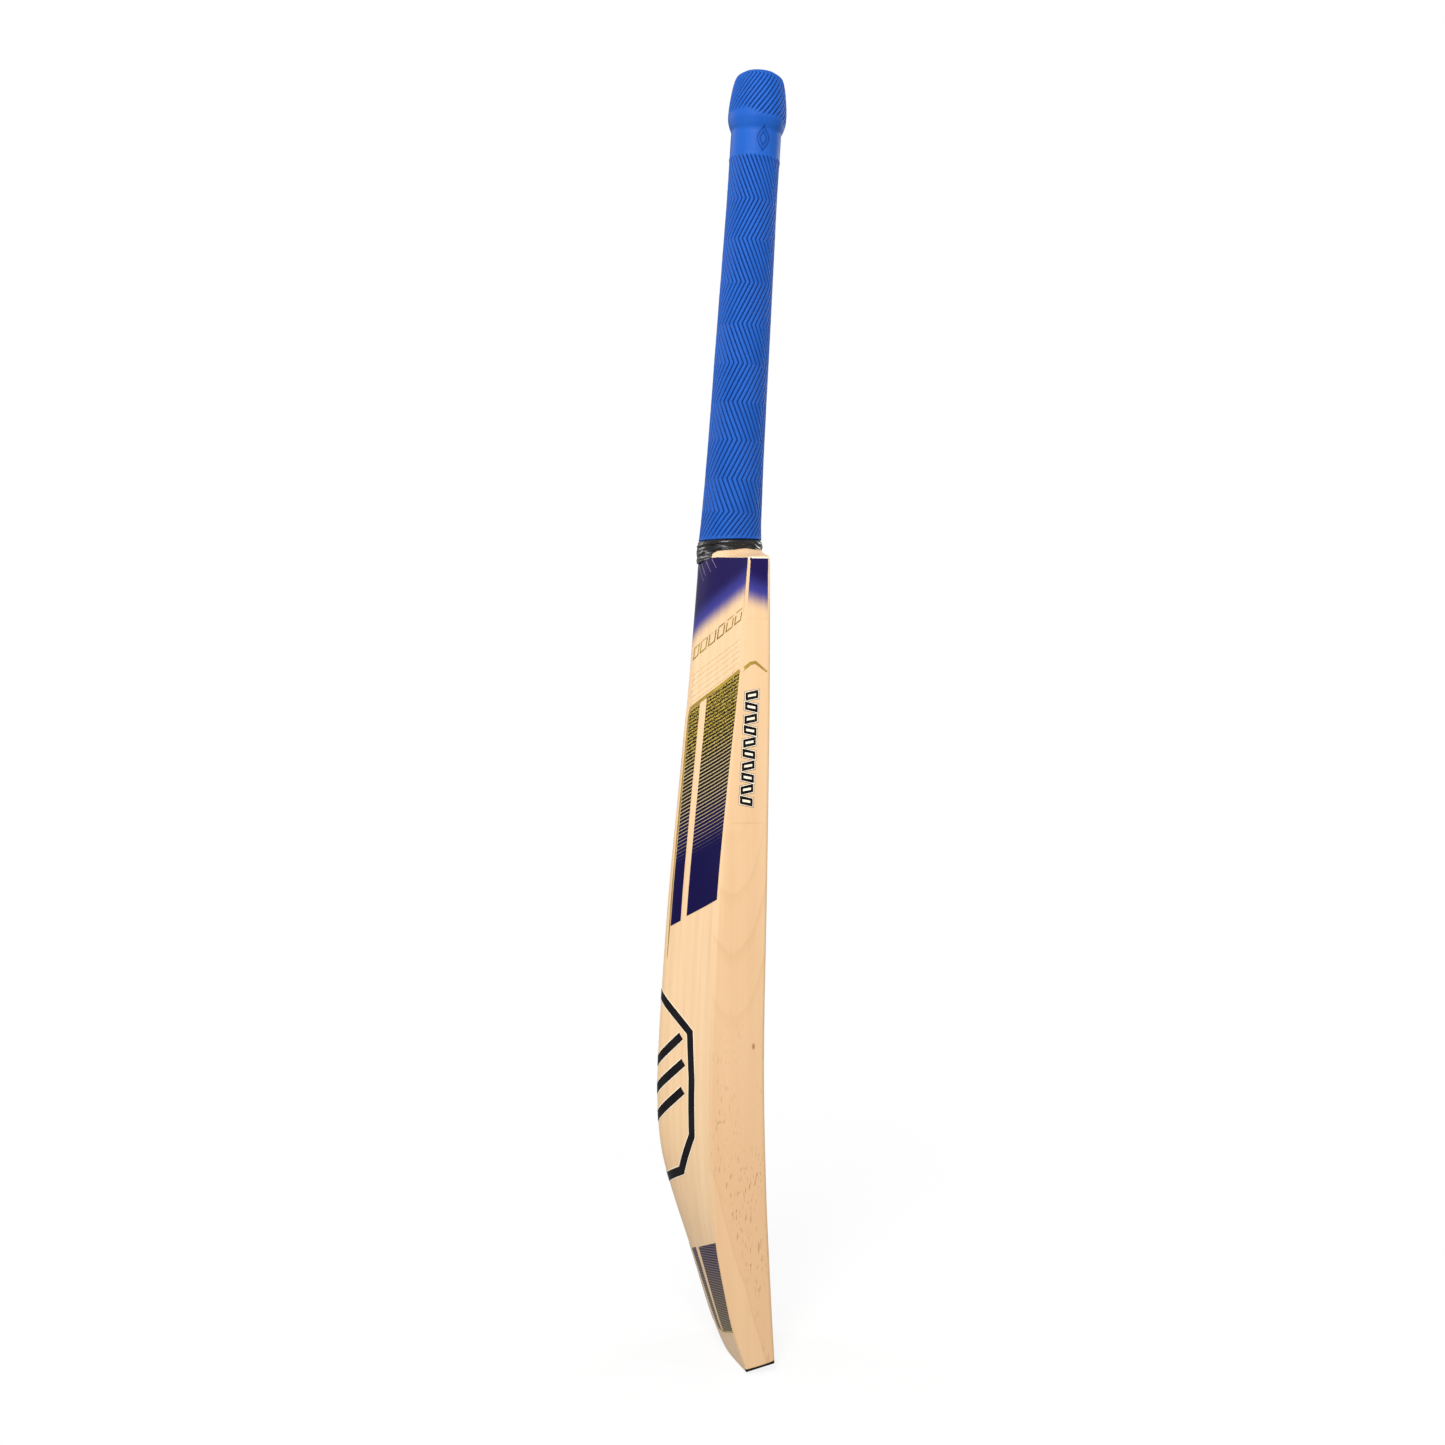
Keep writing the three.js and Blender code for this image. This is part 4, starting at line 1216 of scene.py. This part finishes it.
def make_shoulder_labels(rose, cream):
    fade = fade_material(
        "shoulder_fade", lambda across, depth: across * BACK_FADE_SLOPE + BACK_FADE_HEIGHT)
    back = shoulder_sheet(on_back, BACK_LABEL_REACH)
    for k, (reach, start) in enumerate(RAYS):
        fall = 11.5 - 1.6 * k
        for side in (-1, 1):
            end = (side * (reach + fall * 0.75), start - fall)
            back.line([(side * reach, start), end], (0.6, 0.12), kind=1, layer=1)
    back.make("shoulder_label_film_back", [fade, rose], "navy_print", "shoulder_label_back")
    face = shoulder_sheet(on_face, FACE_LABEL_REACH)
    face.make("shoulder_label_film_face", [fade], "navy_print", "shoulder_label_face")
    edge_fade = fade_material(
        "shoulder_edge_fade", lambda across, depth: depth * EDGE_FADE_SLOPE + EDGE_FADE_HEIGHT)

    for word, side in (("left", -1), ("right", 1)):
        panel = Print(on_edge(side))
        zs = np.linspace(500.0, 542.7, 24)
        front = face_y(zs) + FACE_CORNER_RADIUS - 1.6
        rear = edge_y(zs) - BACK_CORNER_RADIUS * 0.15
        across = np.linspace(0, 1, 12)
        ys = front[:, None] * (1 - across) + rear[:, None] * across
        panel.sheet(np.stack([ys, np.broadcast_to(zs[:, None], ys.shape)], -1), tucked=True)
        outline = [(rear[10], zs[10]), (rear[-1], zs[-1]), (front[-1], zs[-1]), (front[8], zs[8])]
        panel.line(outline, (0.3, 1.0, 0.9, 0.2), kind=1, layer=1)
        name = f"shoulder_label_film_{word}"
        panel.make(name, [edge_fade, cream], "navy_print", f"shoulder_label_{word}")


def make_title(word, side, looks):
    """A slanting row of outlined blocks over fine slanting lines."""
    title = Print(on_back)
    for k in range(6):
        x = 5.0 + 7.7 * k
        z = 475.6 + 0.585 * (x - 5.0)
        block = [(x, z), (x + 5.3, z + 3.1), (x + 6.3, z + 10.8), (x + 1.0, z + 7.7)]
        title.line(mirrored(block, side), 0.8, closed=True)
    for k in range(7):
        z = 464.5 - 3.9 * k
        title.line(mirrored([(6.0, z), (50.0, z + 24.0)], side), 0.2, kind=1)
    title.make(f"title_blocks_{word}", looks, "gold_print", f"title_label_{word}")


# Each label's broad band, narrow band, and gold border with its widths
SIDE_LABEL = ([(22.3, 449), (22.0, 300.8), (51.6, 314.4), (51.6, 466)],
              [(6.8, 440), (7.0, 292.6), (16.6, 297.2), (16.2, 445.4)],
              [(51.6, 467.2), (15, 446.4), (7.2, 442.0), (5.6, 436), (5.5, 400), (5.6, 330),
               (5.8, 288), (5.6, 270)],
              (2.2, 2.2, 2.2, 2.0, 1.6, 1.3, 1.2, 0.25))
TOE_LABEL = ([(24, 18.0), (51.4, 26.0), (51.4, 85.6), (20.8, 75.2)],
             [(9, 16), (18.3, 17.4), (14.8, 73.6), (4.8, 70.4)],
             [(9, 15.6), (24, 17.6), (51.4, 25.6)], 0.9)


def make_band_label(place, word, side, looks, wide, narrow, border, widths):
    label = Print(on_back)
    for corners in (wide, narrow):
        label.patch(mirrored(corners, side))
    label.line(mirrored(border, side), widths, kind=1, layer=1)
    label.make(f"{place}_bands_{word}", looks, "navy_print", f"{place}_label_{word}")


def make_edge_marks(word, side, looks):
    """A gold roof line over a column of plain outlined blocks, and a fine line at the film's end."""
    label = Print(on_edge(side))
    roof = [(-2.1, 467.0), (-8.2, 472.0), (-11.5, 472.6), (-19.4, 466.4)]
    label.line(roof, (2.1, 2.2, 2.0, 1.0), kind=2)
    for k in range(10):
        y = -9.0 + 0.44 * k
        z = 450.6 - 7.85 * k
        lean = 1.0 if k % 2 else -1.0
        for deep, tall, tilt, kind, layer in ((5.05, 3.45, lean, 0, 0), (4.8, 3.2, lean, 1, 1),
                                              (4.3, 2.7, lean, 0, 2), (2.7, 0.8, lean / 2, 1, 3)):
            block = [(y - deep, z - tall - tilt), (y + deep, z - tall + tilt),
                     (y + deep, z + tall + tilt), (y - deep, z + tall - tilt)]
            label.patch(block, kind, layer)
    label.line([(FACE_LINE_Y + 5.5, FILM_END), (4.5, FILM_END)], 0.22, kind=3)
    label.make(f"edge_marks_{word}", looks, "black_print", f"edge_label_{word}")


def make_emblem(ink, cream):
    """Bold nested chevrons in a long frame with ten sides."""
    emblem = Print(on_back)
    frame_line = [(0, 246), (31, 223), (34, 192), (34, 154), (21, 128), (0, 119),
                  (-21, 128), (-34, 154), (-34, 192), (-31, 223)]
    strokes = [(frame_line, True)]
    for low, reach in ((207, 23.0), (188, 26.0), (169, 26.0)):
        high = low + reach * 0.55
        strokes.append(([(-reach, high), (0, low - 8), (reach, high)], False))
    for points, closed in strokes:
        emblem.line(points, 6.8, kind=1, layer=0, closed=closed)
        emblem.line(points, 5.6, kind=0, layer=1, closed=closed)
    emblem.make("ridge_emblem", [ink, cream], "black_print", "emblem_label")


# ---- Carried-over CAD nodes ----


def finish_nodes():
    """Better materials on the pieces that keep their CAD shape."""
    looks = {"cane_strip": cane_material(), "rubber_spring": spring_material(),
             "binding_twine": twine_material()}
    for name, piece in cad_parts.items():
        for start, material in looks.items():
            if name.startswith(start):
                repaint(piece, material)


def repaint(piece, material):
    for slot in piece.material_slots:
        slot.material = material


def cane_material():
    look = Look("cane", Roughness=0.5, Specular_IOR_Level=0.3)
    pores = look.whole.grain((1500, 1500, 20), 2.0, 0.6)
    broad = look.whole.grain((90, 90, 5))
    colour = mix(broad, (0.70, 0.47, 0.22, 1), (0.52, 0.31, 0.12, 1))
    colour = mix(pores.remap(0.56, 0.68), colour, (0.20, 0.10, 0.04, 1))
    _, _, upward = look.drawing_place()
    colour = mix(upward.smooth(BLADE_TOP - 12, BLADE_TOP - 24), colour, look.wood()[0])
    return look.paint(colour, pores.remap(0.3, 0.7, 0.42, 0.62), pores.bump(0.4, 0.0003))


def spring_material():
    look = Look("spring_rubber", Roughness=0.8, Specular_IOR_Level=0.25)
    grit = look.whole.grain((1200, 1200, 1200))
    colour = mix(grit, (0.012, 0.011, 0.010, 1), (0.05, 0.045, 0.04, 1))
    return look.paint(colour, grit.remap(0.3, 0.7, 0.7, 0.9), grit.bump(0.3, 0.0002))


def twine_material():
    look = Look("twine", Roughness=0.8, Specular_IOR_Level=0.2, Sheen_Weight=0.2)
    coil = (look.z * 1100.0).maths("PINGPONG", 0.5)
    fray = look.whole.grain((900, 900, 900), 3.0)
    colour = mix(fray, (0.62, 0.55, 0.42, 1), (0.46, 0.38, 0.26, 1))
    return look.paint(colour, None, coil.bump(0.8, 0.0005))


# ---- Studio pieces ----


def make_stage_piece(name, rings, material):
    """Level circles, given as (radius, height), joined up and kept out of the bat's light."""
    turns = [2 * math.pi * k / FLOOR_SIDES for k in range(FLOOR_SIDES)]
    points = [(radius * math.cos(a), radius * math.sin(a), height)
              for radius, height in rings for a in turns]
    piece = new_piece(name, points, ring_faces(len(rings), FLOOR_SIDES), [material])
    piece.visible_diffuse = False
    piece.visible_glossy = False
    piece.visible_transmission = False
    piece.visible_shadow = False


def make_backdrop():
    """A white dome all round."""
    look = Look("backdrop")
    angles = [math.radians(a) for a in range(-90, 91, 15)]
    rings = [(BACKDROP_RADIUS * math.cos(a), BACKDROP_RADIUS * math.sin(a)) for a in angles]
    make_stage_piece("backdrop", rings, look.show(look.glow()))


def make_floor():
    """A wide pale floor that brightens to the white of the surroundings away from the bat."""
    look = Look("studio_floor", Base_Color=FLOOR_GREY, Roughness=0.9, Specular_IOR_Level=0.05)
    far = look.whole.vector("LENGTH", output="Value").remap(0.1, 1.0, 0.86, 1.0)
    shaders = {0: far, 1: Field(look.shader.outputs[0]), 2: Field(look.glow())}
    material = look.show(node(look.tree, "ShaderNodeMixShader", shaders).outputs[0])
    make_stage_piece("studio_floor", [(radius, -FLOOR_DROP) for radius in FLOOR_RADII], material)


# ---- Build ----

make_camera()
make_studio()
make_backdrop()
make_floor()
make_blade()
make_toe_guard()
grip_rubber = grip_material()
make_grip(grip_rubber)
make_grip_mark(grip_rubber)
make_neck_tape()
make_prints()
finish_nodes()
